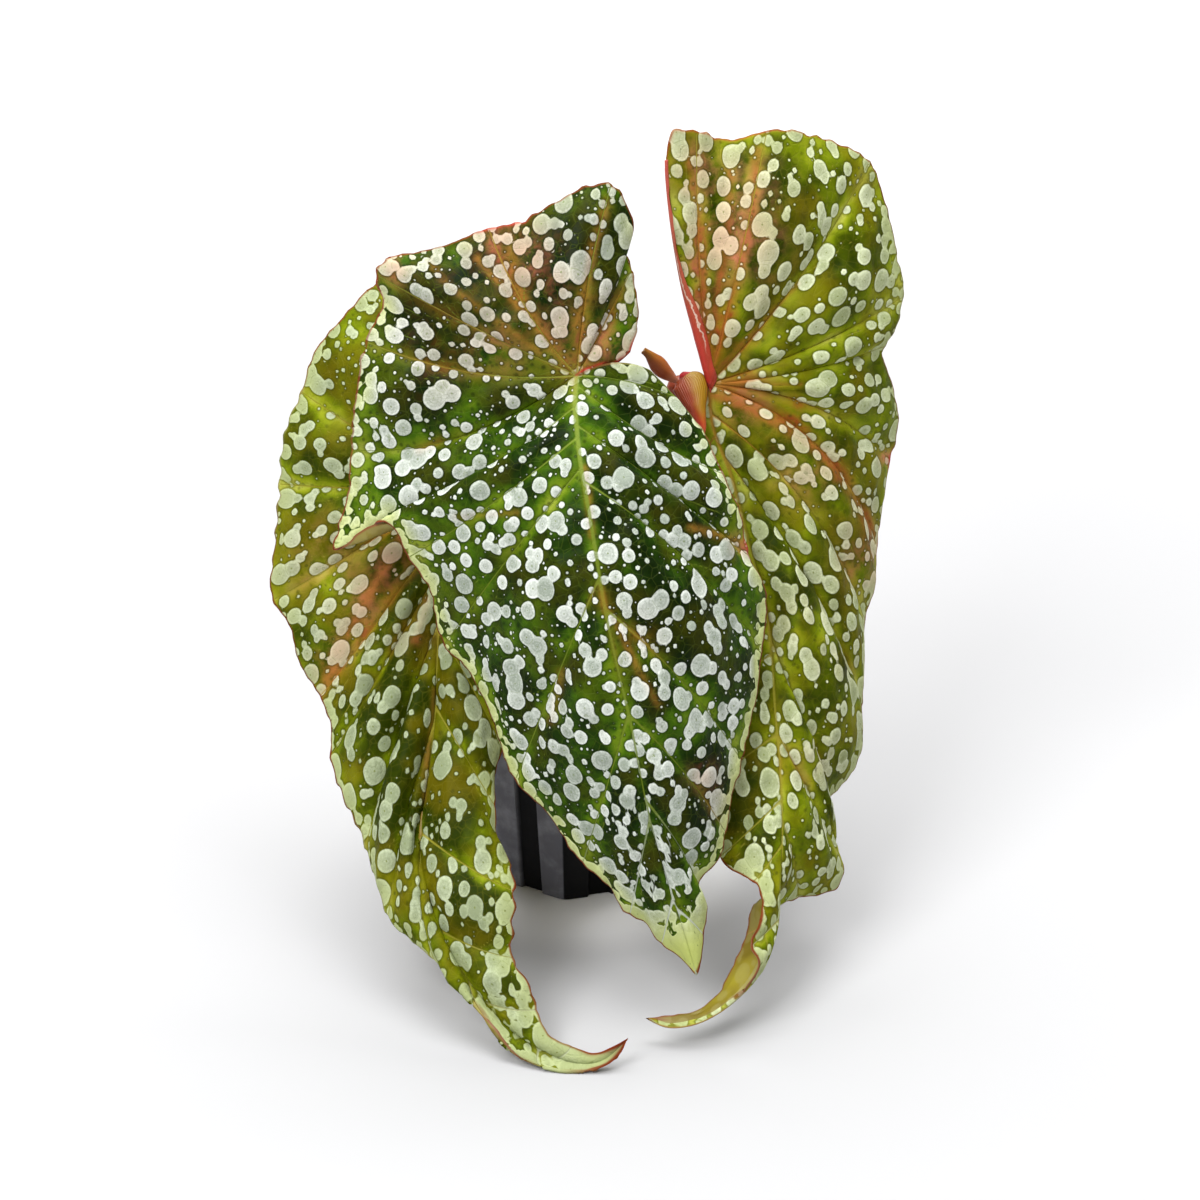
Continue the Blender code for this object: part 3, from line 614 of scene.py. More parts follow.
# Lines on half a blade: its ribs, and two forks from each rib that lead towards its neighbours.
def veinLines(half):
    sheet, rows = half["sheet"], half["ribRows"]
    columns = sheet.shape[1]
    lines = [(sheet[row, ::6], *veinWidths["rib"]) for row in rows[1:-1]]
    u = np.linspace(leafMake["forkStart"], leafMake["forkEnd"], leafMake["forkPoints"])
    lead = leafMake["forkSpread"] * ((u - u[0]) / (1 - u[0])) ** leafMake["forkBend"]
    for here, there in [*zip(rows[1:-1], rows[2:]), *zip(rows[1:-1], rows[:-2])]:
        row = np.round(here + (there - here) * lead).astype(int)
        lines.append((sheet[row, np.round(u * (columns - 1)).astype(int)], *veinWidths["fork"]))
    return lines


# For each point, its distance to the nearest line in millimetres, and the smallest ratio of that
# distance to a line's half width, which goes evenly from the line's first width to its last.
def nearest(points, lines):
    gap, share = np.full((2, len(points)), 99.0)
    for line, wide, narrow in lines:
        widths = np.linspace(wide, narrow, len(line))
        for a, b, first, last in zip(line[:-1], line[1:], widths[:-1], widths[1:]):
            along = np.clip(((points - a) @ (b - a)) / max(1e-12, (b - a) @ (b - a)), 0.0, 1.0)
            here = toMm * np.linalg.norm(points - a - along[:, None] * (b - a), axis=1)
            gap = np.minimum(gap, here)
            share = np.minimum(share, here / (first + along * (last - first)))
    return gap, share


# Round spots sown on the leaf in clumps, the biggest first. A spot shrinks until it clears the
# veins; clumps keep apart, less so towards the edge and the tip. Spots that touch melt together:
# depth = k log(sum of exp((radius - distance) / k)). Each point of the leaf keeps that depth (below
# 0 outside), its offset from the nearest spot's middle, the spot's drawn tone, how deep it lies in
# the next spot, and the crease: the two depths' difference, which changes sign from spot to spot.
sowing = {
    "rarity": 1.3,               # above 1, small spots are commoner than big ones
    "margin": 2.0,               # how far past the row's greatest distance a clump may start
    "leastBeside": 0.75,         # least radius of a further spot of a clump
    "beside": (0.4, 0.95),       # its radius, in radii of the spot that it grows beside
    "overlap": (0.72, 0.98),     # how far apart both are, in the sum of their radii
    "offLeaf": 1.5,              # the square of how far beside the leaf it may fall
    "edgeReach": 3.0,            # how far from the edge spots are denser and bigger
    "denser": 0.8, "bigger": 0.25,
    "overVein": 0.45,            # how far a spot may reach over a vein
    "between": (0.15, 1.0),      # the gap between clumps
    "closer": 2.2,               # how much of it goes at the edge and the tip
    "least": 0.6, "leastShare": 0.45,       # least radius, and the same in the row's least radius
    "wobble": ((5.0, 5, 1.0), (2.6, 8, 0.4)),       # length, first seed and size of its ripples
    "wobbleSize": 0.10,
    "melt": 0.26,                # k in the formula above
}


def sowSpots(points, normals, areas, gaps, leaf):
    draw = np.random.default_rng(leaf["seed"])
    places = toMm * points
    filling = np.cumsum(areas)
    centres, radii, clumps = np.zeros((0, 3)), np.zeros(0), np.zeros(0, int)
    clump = 0
    for spacing, smallest, biggest, share, inset, most in leaf["spots"]:
        count = int(1e6 * filling[-1] / spacing**2)
        picks = np.searchsorted(filling, draw.uniform(0, filling[-1], count))
        size = draw.uniform(0, 1, count) ** sowing["rarity"] * (biggest - smallest) + smallest
        luck = draw.uniform(0, 1, count)
        for pick, radius, chance in zip(picks, size, luck):
            if gaps["edge"][pick] > inset + sowing["margin"]:
                continue
            clump += 1
            group = [(places[pick], radius)]
            for _ in range(draw.integers(0, most)):
                parent, parentRadius = group[draw.integers(len(group))]
                lead = unit(np.cross(draw.normal(size=3), normals[pick]))
                beside = parentRadius * draw.uniform(*sowing["beside"])
                beside = max(sowing["leastBeside"], beside)
                reach = draw.uniform(*sowing["overlap"]) * (parentRadius + beside)
                group.append((parent + reach * lead, beside))
            for member, (middle, radius) in enumerate(group):
                point = pick
                if member > 0:
                    apart = np.sum((places - middle) ** 2, axis=1)
                    point = int(np.argmin(apart))
                    if apart[point] > sowing["offLeaf"]:
                        continue
                if gaps["edge"][point] > inset:
                    continue
                middle = places[point]
                outer = math.exp(-gaps["edge"][point] / sowing["edgeReach"])
                outer = max(math.exp(-gaps["tip"][point] / leaf["tipReach"]), outer)
                outer *= 1 - min(1.0, gaps["bare"][point])
                if chance > share + sowing["denser"] * outer:
                    continue
                room = gaps["vein"][point] + sowing["overVein"] + outer
                radius = min(radius * (1 + sowing["bigger"] * outer), room)
                near = np.linalg.norm(centres - middle, axis=1) - radii - radius
                clear = draw.uniform(*sowing["between"]) - sowing["closer"] * outer
                least = max(sowing["least"], sowing["leastShare"] * smallest)
                if radius < least or np.any(near[clumps != clump] < clear):
                    continue
                centres = np.append(centres, [middle], axis=0)
                radii = np.append(radii, radius)
                clumps = np.append(clumps, clump)
    wobble = [
        sum(size * ripple(places, length, seed + k) for length, seed, size in sowing["wobble"])
        for k in (0, 1, 2)
    ]
    warped = places + sowing["wobbleSize"] * np.stack(wobble, 1)
    depth, second = np.full((2, len(places)), -9.0)
    first, runnerUp = np.zeros((2, len(places)), int)
    total = np.full(len(places), 1e-12)
    stalk = toMm * seenAt(leaf["midrib"])[0]
    melt = sowing["melt"]
    offset = np.zeros((len(places), 3))
    tone = np.zeros(len(places))
    shades = draw.uniform(0, 1, len(radii))
    for number, (centre, radius, shade) in enumerate(zip(centres, radii, shades)):
        away = warped - centre
        lead = unit(centre - stalk)
        squeeze = leaf["longSpots"][0] if centre[2] > stalk[2] else leaf["longSpots"][1]
        away -= squeeze * (away @ lead)[:, None] * lead
        here = radius * (1 - 0.5 * squeeze) - np.linalg.norm(away, axis=1)
        total += np.exp(np.clip(here / melt, -60, 40))
        deeper = here > depth
        other = deeper | (here > second)
        runnerUp = np.where(deeper, first, np.where(other, number, runnerUp))
        second = np.where(deeper, depth, np.where(other, here, second))
        first = np.where(deeper, number, first)
        depth = np.where(deeper, here, depth)
        offset = np.where(deeper[:, None], away, offset)
        tone = np.where(deeper, shade, tone)
    print("sown", len(radii), "spots on", leaf["name"])
    crease = (depth - second) * np.where(first > runnerUp, 1.0, -1.0)
    return melt * np.log(total), offset, tone, second, crease


# How strongly each point lies in the named zones: bells around picture points, some of which
# count on one half of the blade only.
def zone(seen, onLeft, bells):
    total = np.zeros(len(seen))
    for across, down, radius, strength, *half in bells:
        away = (seen[:, 0] - across) ** 2 + (seen[:, 1] - down) ** 2
        here = strength * np.exp(-away / radius**2)
        if half:
            here = here * (onLeft == (half[0] == "left"))
        total = np.maximum(total, here)
    return total


# How strongly each point lies on the named lines: a bell across each, from picture point to
# picture point.
def streaks(seen, lines):
    total = np.zeros(len(seen))
    for fromX, fromY, toX, toY, radius, strength in lines:
        start, lead = np.array([fromX, fromY]), np.array([toX - fromX, toY - fromY])
        share = np.clip(((seen - start) @ lead) / (lead @ lead), 0, 1)
        away = np.linalg.norm(seen - start - share[:, None] * lead, axis=1)
        total = np.maximum(total, strength * np.exp(-((away / radius) ** 2)))
    return total


# Both halves sewn along the midrib, with the veins sunk and the panels between them swollen.
def leafBlade(leaf, looks):
    roots = sharedRoots(leaf)
    columns = leafMake["columns"]
    points, faces, halves, ribs, outline = [], [], [], [], []
    count = 0
    for side in ("left", "right"):
        half = halfBlade(leaf, side, roots)
        sheet, fan = half["sheet"], half["fan"]
        ribs += veinLines(half)
        outline += [(sheet[::2, -1], 1.0, 1.0), (sheet[0, ::4], 1.0, 1.0)]
        index = count + np.arange(len(sheet) * columns).reshape(len(sheet), columns)
        points.append(sheet.reshape(-1, 3))
        halves.append(np.full(len(sheet) * columns, side == "left"))
        if side == "left":
            middle = index[fan:, 0].copy()
            middle[-1] = index[-1, 0]
        index[fan:, 0] = middle
        index[:fan, 0] = middle[0]
        index[-1, :] = middle[-1]
        count += len(sheet) * columns
        a, b, c, d = index[:-1, :-1], index[1:, :-1], index[1:, 1:], index[:-1, 1:]
        oneWay = np.linalg.norm(sheet[:-1, :-1] - sheet[1:, 1:], axis=2)
        otherWay = np.linalg.norm(sheet[1:, :-1] - sheet[:-1, 1:], axis=2)
        shorter = (oneWay <= otherWay)[..., None]
        first = np.where(shorter, np.stack([a, b, c], 2), np.stack([a, b, d], 2))
        second = np.where(shorter, np.stack([a, c, d], 2), np.stack([b, c, d], 2))
        corners = np.concatenate([first.reshape(-1, 3), second.reshape(-1, 3)])
        faces.append(corners[:, ::-1] if side == "left" else corners)
    points, faces, onLeft = np.concatenate(points), np.concatenate(faces), np.concatenate(halves)
    whole = (faces != np.roll(faces, 1, axis=1)).all(axis=1)
    used, inverse = np.unique(faces[whole], return_inverse=True)
    points, faces, onLeft = points[used], inverse.reshape(-1, 3), onLeft[used]

    midrib = seenAt(leaf["midrib"])
    midrib = smoothLine(midrib, stepsAlong(midrib), np.linspace(0, 1, leafMake["midribPoints"]))
    majors = [line for line in ribs if line[1] == veinWidths["rib"][0]]
    majors.append((midrib, *veinWidths["midrib"]))
    veinGap, veinShare = nearest(points, majors)
    forkShare = nearest(points, [line for line in ribs if line[1] == veinWidths["fork"][0]])[1]
    edgeGap = nearest(points, outline)[0]
    tipGap = toMm * np.linalg.norm(points - midrib[-1], axis=1)
    bare = zone(pictureOf(points), onLeft, leaf["bare"])
    normals = np.zeros_like(points)
    first, second, third = points[faces.T]
    facing = np.cross(second - first, third - first)
    for k in range(3):
        np.add.at(normals, faces[:, k], facing)
    areas = np.linalg.norm(normals, axis=1) / 6
    gaps = {"vein": veinGap, "edge": edgeGap, "tip": tipGap, "bare": bare}
    depth, offset, tone, second, crease = sowSpots(points, unit(normals), areas, gaps, leaf)

    swell = sum(height * ripple(points, length, 3) for length, height in leafMake["quilting"])
    veinRoom, edgeRoom, left = leafMake["swellFade"]
    swell *= np.clip(veinGap / veinRoom, 0, 1) * np.clip(edgeGap / edgeRoom, left, 1)
    spread, edgeRoom = leafMake["veinFade"]
    sunk = leafMake["veinDepth"] * np.exp(-((veinShare / spread) ** 2))
    swell -= sunk * np.clip(edgeGap / edgeRoom, 0, 1)
    points = points + swell[:, None] * unit(normals)

    blade = meshFrom(leaf["name"], points, faces)
    seen = pictureOf(points)
    fields = {
        "veinGap": veinGap, "veinShare": veinShare, "forkShare": forkShare, "edgeGap": edgeGap,
        "stalkGap": toMm * np.linalg.norm(points - midrib[0], axis=1),
        "tipGap": tipGap, "spotDepth": depth, "spotSecond": second, "spotCrease": crease,
        "spotTone": tone, "spotMiddle": np.linalg.norm(offset, axis=1),
        **{"spot" + axis: unit(offset)[:, k] for k, axis in enumerate("XYZ")},
        "bare": bare, "dull": zone(seen, onLeft, leaf["dull"]),
        **{name: zone(seen, onLeft, leaf[name]) for name in ("pink", "orange", "deep", "plain", "red")},
        "streak": streaks(seen, leaf["streaks"]),
    }
    # the fold lines join the deep zones; both are painted shade
    fields["deep"] = np.maximum(fields["deep"], streaks(seen, leaf["folds"]))
    keep(blade.data, fields)
    for look in looks:
        blade.data.materials.append(look)
    thick = blade.modifiers.new("thickness", "SOLIDIFY")
    thick.thickness = leafMake["thickness"]
    thick.offset = leafMake["thicknessSide"]
    thick.material_offset = 1
    thick.material_offset_rim = 2
    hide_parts(leaf["node"])
    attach(blade, "root")
    print("made", leaf["name"], 2 * len(faces), "triangles")
    return blade


# The upper skin. Green runs from deep in the middle of a panel to yellow-green at its veins, with
# orange and pink zones; spots are pale, with a thin dark outline, a dot in the middle of the big
# ones, and merge into a pale band along the edge. Painted shade darkens the green and the spots in
# the deep zones and along the folds, and the spots of the dull zone. What is eased from a gap
# or a spot's depth is in millimetres, and from a share in half widths of a vein.
def leafLook(name, tones):
    made, shader, wire = finish(name)
    flat = wire.place(100.0, 100.0, 100.0)       # in centimetres
    veinGap, veinShare, forkShare = wire.attributes("veinGap", "veinShare", "forkShare")
    edge, fromStalk, tip = wire.attributes("edgeGap", "stalkGap", "tipGap")
    pink, orange, deep, plain, red = wire.attributes("pink", "orange", "deep", "plain", "red")
    bare, streak = wire.attributes("bare", "streak")
    depth, tone, middle = wire.attributes("spotDepth", "spotTone", "spotMiddle")
    broad = wire.noise(flat, 0.55, 3.0, 0.55)
    cloud = wire.noise(flat, 1.7, 4.0, 0.6)
    fine = wire.noise(flat, 14.0, 3.0, 0.6)

    dotCells = wire.cells(flat, tones["dotScale"], 0.9)
    dotColour = Wire(wire.tree, dotCells.socket.node.outputs["Color"])
    dotDraw = wire.add("ShaderNodeSeparateColor", {}, {"Color": dotColour})
    dotSize = dotDraw * 0.19 + 0.06
    dotLuck = Wire(wire.tree, dotDraw.socket.node.outputs[1])
    dots = (dotSize - dotCells) * (10.0 / tones["dotScale"]) - (dotLuck > tones["dotShare"]) * 9.0

    lobe = wire.cells(flat, 1.7, 0.9)
    seam = wire.cells(flat, 1.7, 0.9, "DISTANCE_TO_EDGE")
    band = (cloud - 0.5) * tones["bandSwing"] + tip.ease(*tones["bandReach"], tones["band"], -3.0)
    band = band + tip.ease(*tones["tipReach"], tones["tipBand"], 0.0)
    band = band - edge + (0.45 - lobe) * 6.0 - bare * 8.0
    inside = depth.most(band).most(dots.least(veinGap - 0.8).least(-0.5 - depth))
    mask = inside.ease(-0.10, 0.14)
    outline = inside.ease(-0.75, -0.05) * (1 - mask)

    beside = veinGap.ease(0.4, 4.5, 1.0, 0.0)
    lightness = veinGap.ease(0.2, 5.0, tones["rise"], 0.0) + edge.ease(1.0, 14.0, 0.28, 0.0)
    # painted shade: the deep zones and fold lines darken the green
    lightness = lightness + (broad - 0.5) * 2.0 + (cloud - 0.5) * 0.55 - deep + tones["light"]
    green = wire.add("ShaderNodeValToRGB", {"stops": tones["greens"]}, {"Fac": lightness})
    amber = wire.mix(cloud.ease(0.35, 0.65), tones["amber"], tones["rust"])
    green = wire.mix(orange * (0.12 + beside * 1.05 + (cloud - 0.5) * 1.5), green, amber)
    olive = wire.noise(flat, 0.6, 2.0, 0.45).ease(0.44, 0.66) * tones["oliveShare"]
    green = wire.mix(olive, green, tones["olive"])
    green = wire.mix(pink * (0.20 + beside * 0.5 + (cloud - 0.5) * 2.6), green, tones["rose"])
    green = wire.mix(streak * (0.8 + (cloud - 0.5) * 1.2), green, tones["streak"])
    green = wire.mix(outline * 0.6, green, tones["shade"])
    netLine = wire.cells(flat, 3.1, 1.0, "DISTANCE_TO_EDGE").ease(0.012, 0.05, 1.0, 0.0)
    green = wire.mix(netLine * 0.13, green, tones["vein"])
    green = wire.mix(forkShare.ease(0.5, 1.6, 1.0, 0.0) * 0.5, green, tones["vein"])

    turned = wire.add("ShaderNodeCombineXYZ", {}, {
        "X": wire.attribute("spotX"), "Y": wire.attribute("spotY"),
        "Z": wire.attribute("spotZ") + tone * 30.0,
    })
    strokes = wire.noise(turned, 4.0, 3.0, 0.7) * 0.6 + wire.noise(flat, 34.0, 2.0, 0.7) * 0.4
    rings = wire.sum("SINE", middle * 7.0 + tone * 20.0)
    speck = tone * 0.7 + (fine - 0.5) * 1.2 + (strokes - 0.5) * 1.6 + depth.ease(0.3, 1.6, 0.0, 0.3)
    # painted shade: the deep zones and fold lines also dim the spots
    speck = speck + rings * 0.10 + deep * 0.9
    spot = wire.mix(speck, tones["spot"], tones["spotDim"])
    rim = edge.ease(1.5, 10.0, 0.75, 0.0) * (1 - bare.least(1.0) * 0.8)
    spot = wire.mix(rim.most(tip.ease(8.0, 34.0, 1.0, 0.0)), spot, tones["edge"])
    spot = wire.mix((pink * 0.7 + orange * 0.35).most(streak * 0.6), spot, tones["blush"])
    bright = inside.ease(0.3, 0.75, 1.0, 0.0) * inside.ease(0.0, 0.2) * 0.6
    spot = wire.mix(bright, spot, wire.mix(1.0, spot, (1.25, 1.25, 1.25, 1.0), "MULTIPLY"))
    # painted shade: spots in the dull zone are darkened
    spot = wire.mix(wire.attribute("dull"), spot, (0.78, 0.74, 0.68, 1.0), "MULTIPLY")
    ring = seam.ease(0.01, 0.05, 0.30, 0.0) * (band > depth) * tip.ease(25.0, 55.0)
    dot = middle.ease(0.22, 0.42, 1.0, 0.0) * depth.ease(1.3, 1.7) * 0.75
    crease = wire.attribute("spotCrease").absolute().ease(0.05, 0.3, 1.0, 0.0)
    crease = crease * wire.attribute("spotSecond").ease(-0.1, 0.2)
    spot = wire.mix((ring + dot).most(crease * 0.42), spot, tones["dot"])
    colour = wire.mix(mask, green, spot)
    rib = wire.mix(fromStalk.ease(8.0, 60.0), tones["crown"], tones["vein"])
    rib = wire.mix(tip.ease(20.0, 60.0, 0.8, 0.0), rib, tones["spot"])
    colour = wire.mix(veinShare.ease(0.45, 1.4, 0.85, 0.0), colour, rib)
    colour = wire.mix((orange * 0.9) * veinShare.ease(0.7, 2.6, 1.0, 0.0), colour, tones["warmVein"])
    margin = wire.mix(plain, tones["margin"], tones["edge"])
    margin = wire.mix(red, margin, tones["sinus"])
    onEdge = edge.ease(0.3, 0.85, 1.0, 0.0) * (1 - plain * 0.8) * (1 - bare.least(1.0) * 0.4)
    colour = wire.mix(onEdge, colour, margin)
    colour = wire.mix(red * edge.ease(0.4, 1.8, 0.7, 0.0), colour, tones["sinus"])

    height = fine * 0.10 + mask * 0.25 + inside.ease(0.0, 1.2) * 0.25 + veinShare.ease(0.2, 1.6) * 0.5
    height = height + forkShare.ease(0.3, 1.8) * 0.25 + netLine * -0.18 + cloud * 1.2
    bump = wire.bump(0.6, 0.0006, height)
    wire.feed(shader, {
        "Base Color": colour, "Roughness": mask * 0.08 + fine * 0.12 + tones["roughness"],
        "Normal": bump, "Specular IOR Level": tones["gloss"],
    })
    letThrough(made, shader, wire, tones["through"], tones["glow"])
    return made


frontTones = {
    # place along the run, red, green, blue
    "greens": [
        (0.0, 13, 28, 2), (0.26, 27, 50, 4), (0.52, 60, 92, 6),
        (0.8, 104, 128, 22), (1.0, 140, 152, 52),
    ],
    "light": 0.31, "rise": 0.36, "olive": paint(70, 68, 4), "oliveShare": 0.42,
    "amber": paint(122, 92, 26), "rust": paint(110, 50, 18), "rose": paint(176, 96, 74),
    "shade": paint(12, 22, 2), "vein": paint(104, 120, 36), "crown": paint(124, 142, 54),
    "warmVein": paint(156, 112, 40), "streak": paint(154, 108, 42),
    "spot": paint(207, 212, 204), "spotDim": paint(146, 155, 141), "edge": paint(184, 193, 108),
    "blush": paint(200, 174, 152), "dot": paint(110, 124, 70),
    "margin": paint(122, 54, 30), "sinus": paint(184, 46, 44),
    "dotScale": 4.6, "dotShare": 0.9, "band": 1.0, "bandSwing": 6.0, "bandReach": (70.0, 170.0),
    "tipBand": 11.0, "tipReach": (7.0, 36.0),
    "roughness": 0.34, "gloss": 0.05, "glow": paint(120, 150, 10), "through": 0.10,
}
# The side leaves' greens are painted lighter and yellower than the front leaf's, as painted light for the
# light that comes through them from behind.
sideTones = {
    **frontTones,
    "greens": [
        (0.0, 36, 50, 1), (0.26, 66, 80, 2), (0.55, 112, 128, 8),
        (0.8, 148, 158, 30), (1.0, 172, 176, 70),
    ],
    "light": 0.24, "rise": 0.44, "olive": paint(112, 100, 8), "oliveShare": 0.6,
    "amber": paint(150, 112, 26), "rust": paint(142, 66, 28), "rose": paint(206, 124, 96),
    "shade": paint(48, 54, 4), "vein": paint(146, 140, 46), "crown": paint(170, 128, 48),
    "warmVein": paint(176, 104, 44), "streak": paint(158, 86, 44),
    "spot": paint(190, 199, 170), "spotDim": paint(142, 153, 118), "edge": paint(170, 180, 120),
    "blush": paint(212, 180, 150), "dot": paint(112, 122, 62),
    "dotScale": 4.1, "dotShare": 0.5, "band": 0.6, "bandReach": (60.0, 150.0),
    "tipBand": 7.0, "tipReach": (3.0, 30.0),
    "roughness": 0.42, "gloss": 0.04, "glow": paint(180, 180, 10), "through": 0.22,
}
leftTones = {
    **sideTones, "amber": paint(176, 126, 40), "rust": paint(170, 92, 50),
    "streak": paint(184, 112, 60), "spot": paint(184, 194, 160), "sinus": paint(120, 46, 26),
}
rightTones = {
    **sideTones, "light": 0.36, "spot": paint(206, 213, 176), "spotDim": paint(160, 170, 124),
}


# The underside: olive, amber along the veins, paler behind the spots, red-brown at the edge.
def undersideLook():
    made, shader, wire = finish("leafUnderside")
    flat = wire.place(100.0, 100.0, 100.0)       # in centimetres
    patch = wire.noise(flat, 0.6, 3.0)
    colour = wire.mix(patch.ease(0.35, 0.65), paint(112, 96, 10), paint(146, 134, 22))
    colour = wire.mix(wire.attribute("veinShare").ease(0.7, 1.8, 0.7, 0.0), colour, paint(150, 110, 30))
    colour = wire.mix(wire.attribute("spotDepth").ease(-0.3, 0.4, 0.0, 0.35), colour, paint(150, 142, 84))
    colour = wire.mix(wire.attribute("edgeGap").ease(0.2, 1.1, 0.8, 0.0), colour, paint(120, 46, 22))
    wire.feed(shader, {"Base Color": colour, "Roughness": 0.5})
    letThrough(made, shader, wire, 0.15, paint(150, 150, 40))
    return made


# The cut edge of the blade: a thin red-brown line, greenish where the leaf is plain.
def edgeLook():
    made, shader, wire = finish("leafRim")
    patch = wire.noise(wire.place(), 90.0).ease(0.35, 0.65)
    colour = wire.mix(patch, paint(104, 38, 26), paint(134, 78, 38))
    colour = wire.mix(wire.attribute("plain"), colour, paint(120, 128, 30))
    calm = (wire.attribute("bare") - wire.attribute("pink") - wire.attribute("red")) * 0.8
    colour = wire.mix(calm, colour, paint(96, 72, 22))
    wire.feed(shader, {"Base Color": colour, "Roughness": 0.5})
    return made


under, rimLook = undersideLook(), edgeLook()
leafBlade(leafFront, [leafLook("leafFrontSkin", frontTones), under, rimLook])
leafBlade(leafLeft, [leafLook("leafLeftSkin", leftTones), under, rimLook])
leafBlade(leafRight, [leafLook("leafRightSkin", rightTones), under, rimLook])

# stalks: a round profile carried along a smooth line, P(t, a) = C(t) + r(t)(cos a N + sin a B)
stalkMake = {
    "upright": (0.0, -0.35, 1.0),
    "leastEnd": 0.02,         # share of the rounding at which the first and the last ring stand
    "twist": 6,
    "wave": (0.02, 40, 0.02, 3),       # height, waves in each given length (m), and lobes around
}


def sideways(line):
    heading = unit(np.gradient(line, axis=0))
    level = unit(np.cross(heading, stalkMake["upright"]))
    return level, np.cross(level, heading)


def closedGrid(rings):
    rows, around = rings.shape[:2]
    points = np.concatenate([rings.reshape(-1, 3), rings[:1].mean(axis=1), rings[-1:].mean(axis=1)])
    index = np.arange(rows * around).reshape(rows, around)
    beside = np.roll(index, -1, axis=1)
    sides = np.stack([index[:-1], beside[:-1], beside[1:], index[1:]], 2).reshape(-1, 4)
    start = np.stack([beside[0], index[0], np.full(around, rows * around)], 1)
    end = np.stack([index[-1], beside[-1], np.full(around, rows * around + 1)], 1)
    return points, [*sides.tolist(), *start.tolist(), *end.tolist()]


def dress(thing, node, fields=None):
    keep(thing.data, fields or {})
    if node:
        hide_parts(node)
    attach(thing, "root")


def stalk(settings, look):
    route = mm * np.asarray(settings["route"], float)
    knots = stepsAlong(route[:, :3])
    length = np.linalg.norm(np.diff(route[:, :3], axis=0), axis=1).sum()
    count = int(length / settings["step"])
    where = np.linspace(0, 1, count)
    line = smoothLine(route, knots, where)
    level, upward = sideways(line[:, :3])
    angle = np.linspace(0, 2 * math.pi, settings["around"], endpoint=False)
    ends = np.minimum(where, 1 - where) * length / settings["rounding"]
    radius = line[:, 3] * np.sqrt(1 - (1 - np.clip(ends, stalkMake["leastEnd"], 1)) ** 2)
    turned = settings["ribs"] * angle + stalkMake["twist"] * where[:, None]
    ribbed = 1 + settings["ribbing"] * np.cos(turned)
    height, waves, span, lobes = stalkMake["wave"]
    wavy = 1 + height * np.sin(waves * where * length / span)[:, None] * np.sin(lobes * angle)
    reach = radius[:, None] * ribbed * wavy
    rings = line[:, None, :3] + reach[..., None] * (
        np.cos(angle)[None, :, None] * level[:, None] + np.sin(angle)[None, :, None] * upward[:, None]
    )
    thing = meshFrom(settings["name"], *closedGrid(rings), look)
    along = np.concatenate([np.repeat(where, len(angle)), [0.0, 1.0]])
    knob = np.concatenate([np.repeat(line[:, 3], len(angle)), [0.0, 0.0]]) * toMm
    dress(thing, settings["node"], {"along": along, "knob": knob})
    print("made", settings["name"])


caneBody = {
    "name": "caneStem", "node": "cane", "slot": "sheath_brown", "step": 0.0006, "around": 40,
    "rounding": 0.0015, "ribs": 5, "ribbing": 0.02,
    "route": [
        (0.0, 0.0, 31.0, 2.4), (0.0, 0.0, 62.0, 2.6), (1.2, 0.5, 74.0, 2.5), (2.5, 1.0, 85.0, 2.5),
        (6.0, 1.6, 97.0, 2.4), (10.5, 2.0, 109.5, 2.5), (14.2, 2.0, 116.6, 3.2),
        (15.4, 2.0, 118.8, 3.3), (16.2, 2.0, 121.0, 2.6), (18.5, 2.2, 130.0, 2.3),
        (21.5, 2.1, 141.0, 2.4), (23.6, 2.0, 148.6, 3.0), (24.4, 2.0, 151.2, 3.2),
        (25.2, 1.8, 153.5, 2.5), (29.2, 1.0, 160.0, 2.9), (31.8, 0.2, 166.0, 3.7),
        (32.2, 0.0, 169.2, 3.8), (32.0, -0.4, 172.0, 2.4),
    ],
}
frontStalk = {
    "name": "frontStalk", "node": "petiole_front", "slot": "stalk_red", "step": 0.0006, "around": 36,
    "rounding": 0.0012, "ribs": 6, "ribbing": 0.018,
    "route": [
        (21.6, -1.2, 152.3, 2.2), (17.0, -11.0, 162.0, 1.8), (9.0, -29.0, 178.5, 1.7),
        (-1.0, -43.4, 189.9, 2.0),
    ],
}
leftStalk = {
    **frontStalk, "name": "leftStalk", "node": "petiole_left",
    "route": [
        (11.6, 0.7, 120.1, 2.1), (2.0, -1.0, 127.0, 1.8), (-20.0, -4.0, 135.0, 1.7),
        (-38.9, -8.6, 138.3, 1.9),
    ],
}
rightStalk = {
    **frontStalk, "name": "rightStalk", "node": "petiole_right", "step": 0.0003,
    "route": [
        (32.7, -2.7, 172.7, 2.0), (36.5, -6.0, 174.0, 1.8), (40.2, -8.9, 174.0, 1.9),
    ],
}


# Crimson stalks: lighter clouds, fine dark streaks along them and small pale flecks.
def stalkLook():
    made, shader, wire = finish("crimsonStalk")
    place = wire.place()
    grooves = wire.noise(wire.place(900.0, 900.0, 140.0), 1.0, 3.0)
    clouds = wire.noise(place, 160.0, 3.0)
    colour = wire.mix(clouds.ease(0.35, 0.65), paint(150, 12, 22), paint(186, 44, 36))
    colour = wire.mix(grooves.ease(0.45, 0.75) * 0.5, colour, paint(96, 4, 16))
    flecks = wire.noise(place, 1100.0, 1.0).ease(0.66, 0.74)
    colour = wire.mix(flecks * 0.5, colour, paint(226, 132, 96))
    bump = wire.bump(0.4, 0.0003, grooves)
    wire.feed(shader, {"Base Color": colour, "Roughness": clouds * 0.2 + 0.28, "Normal": bump})
    return made


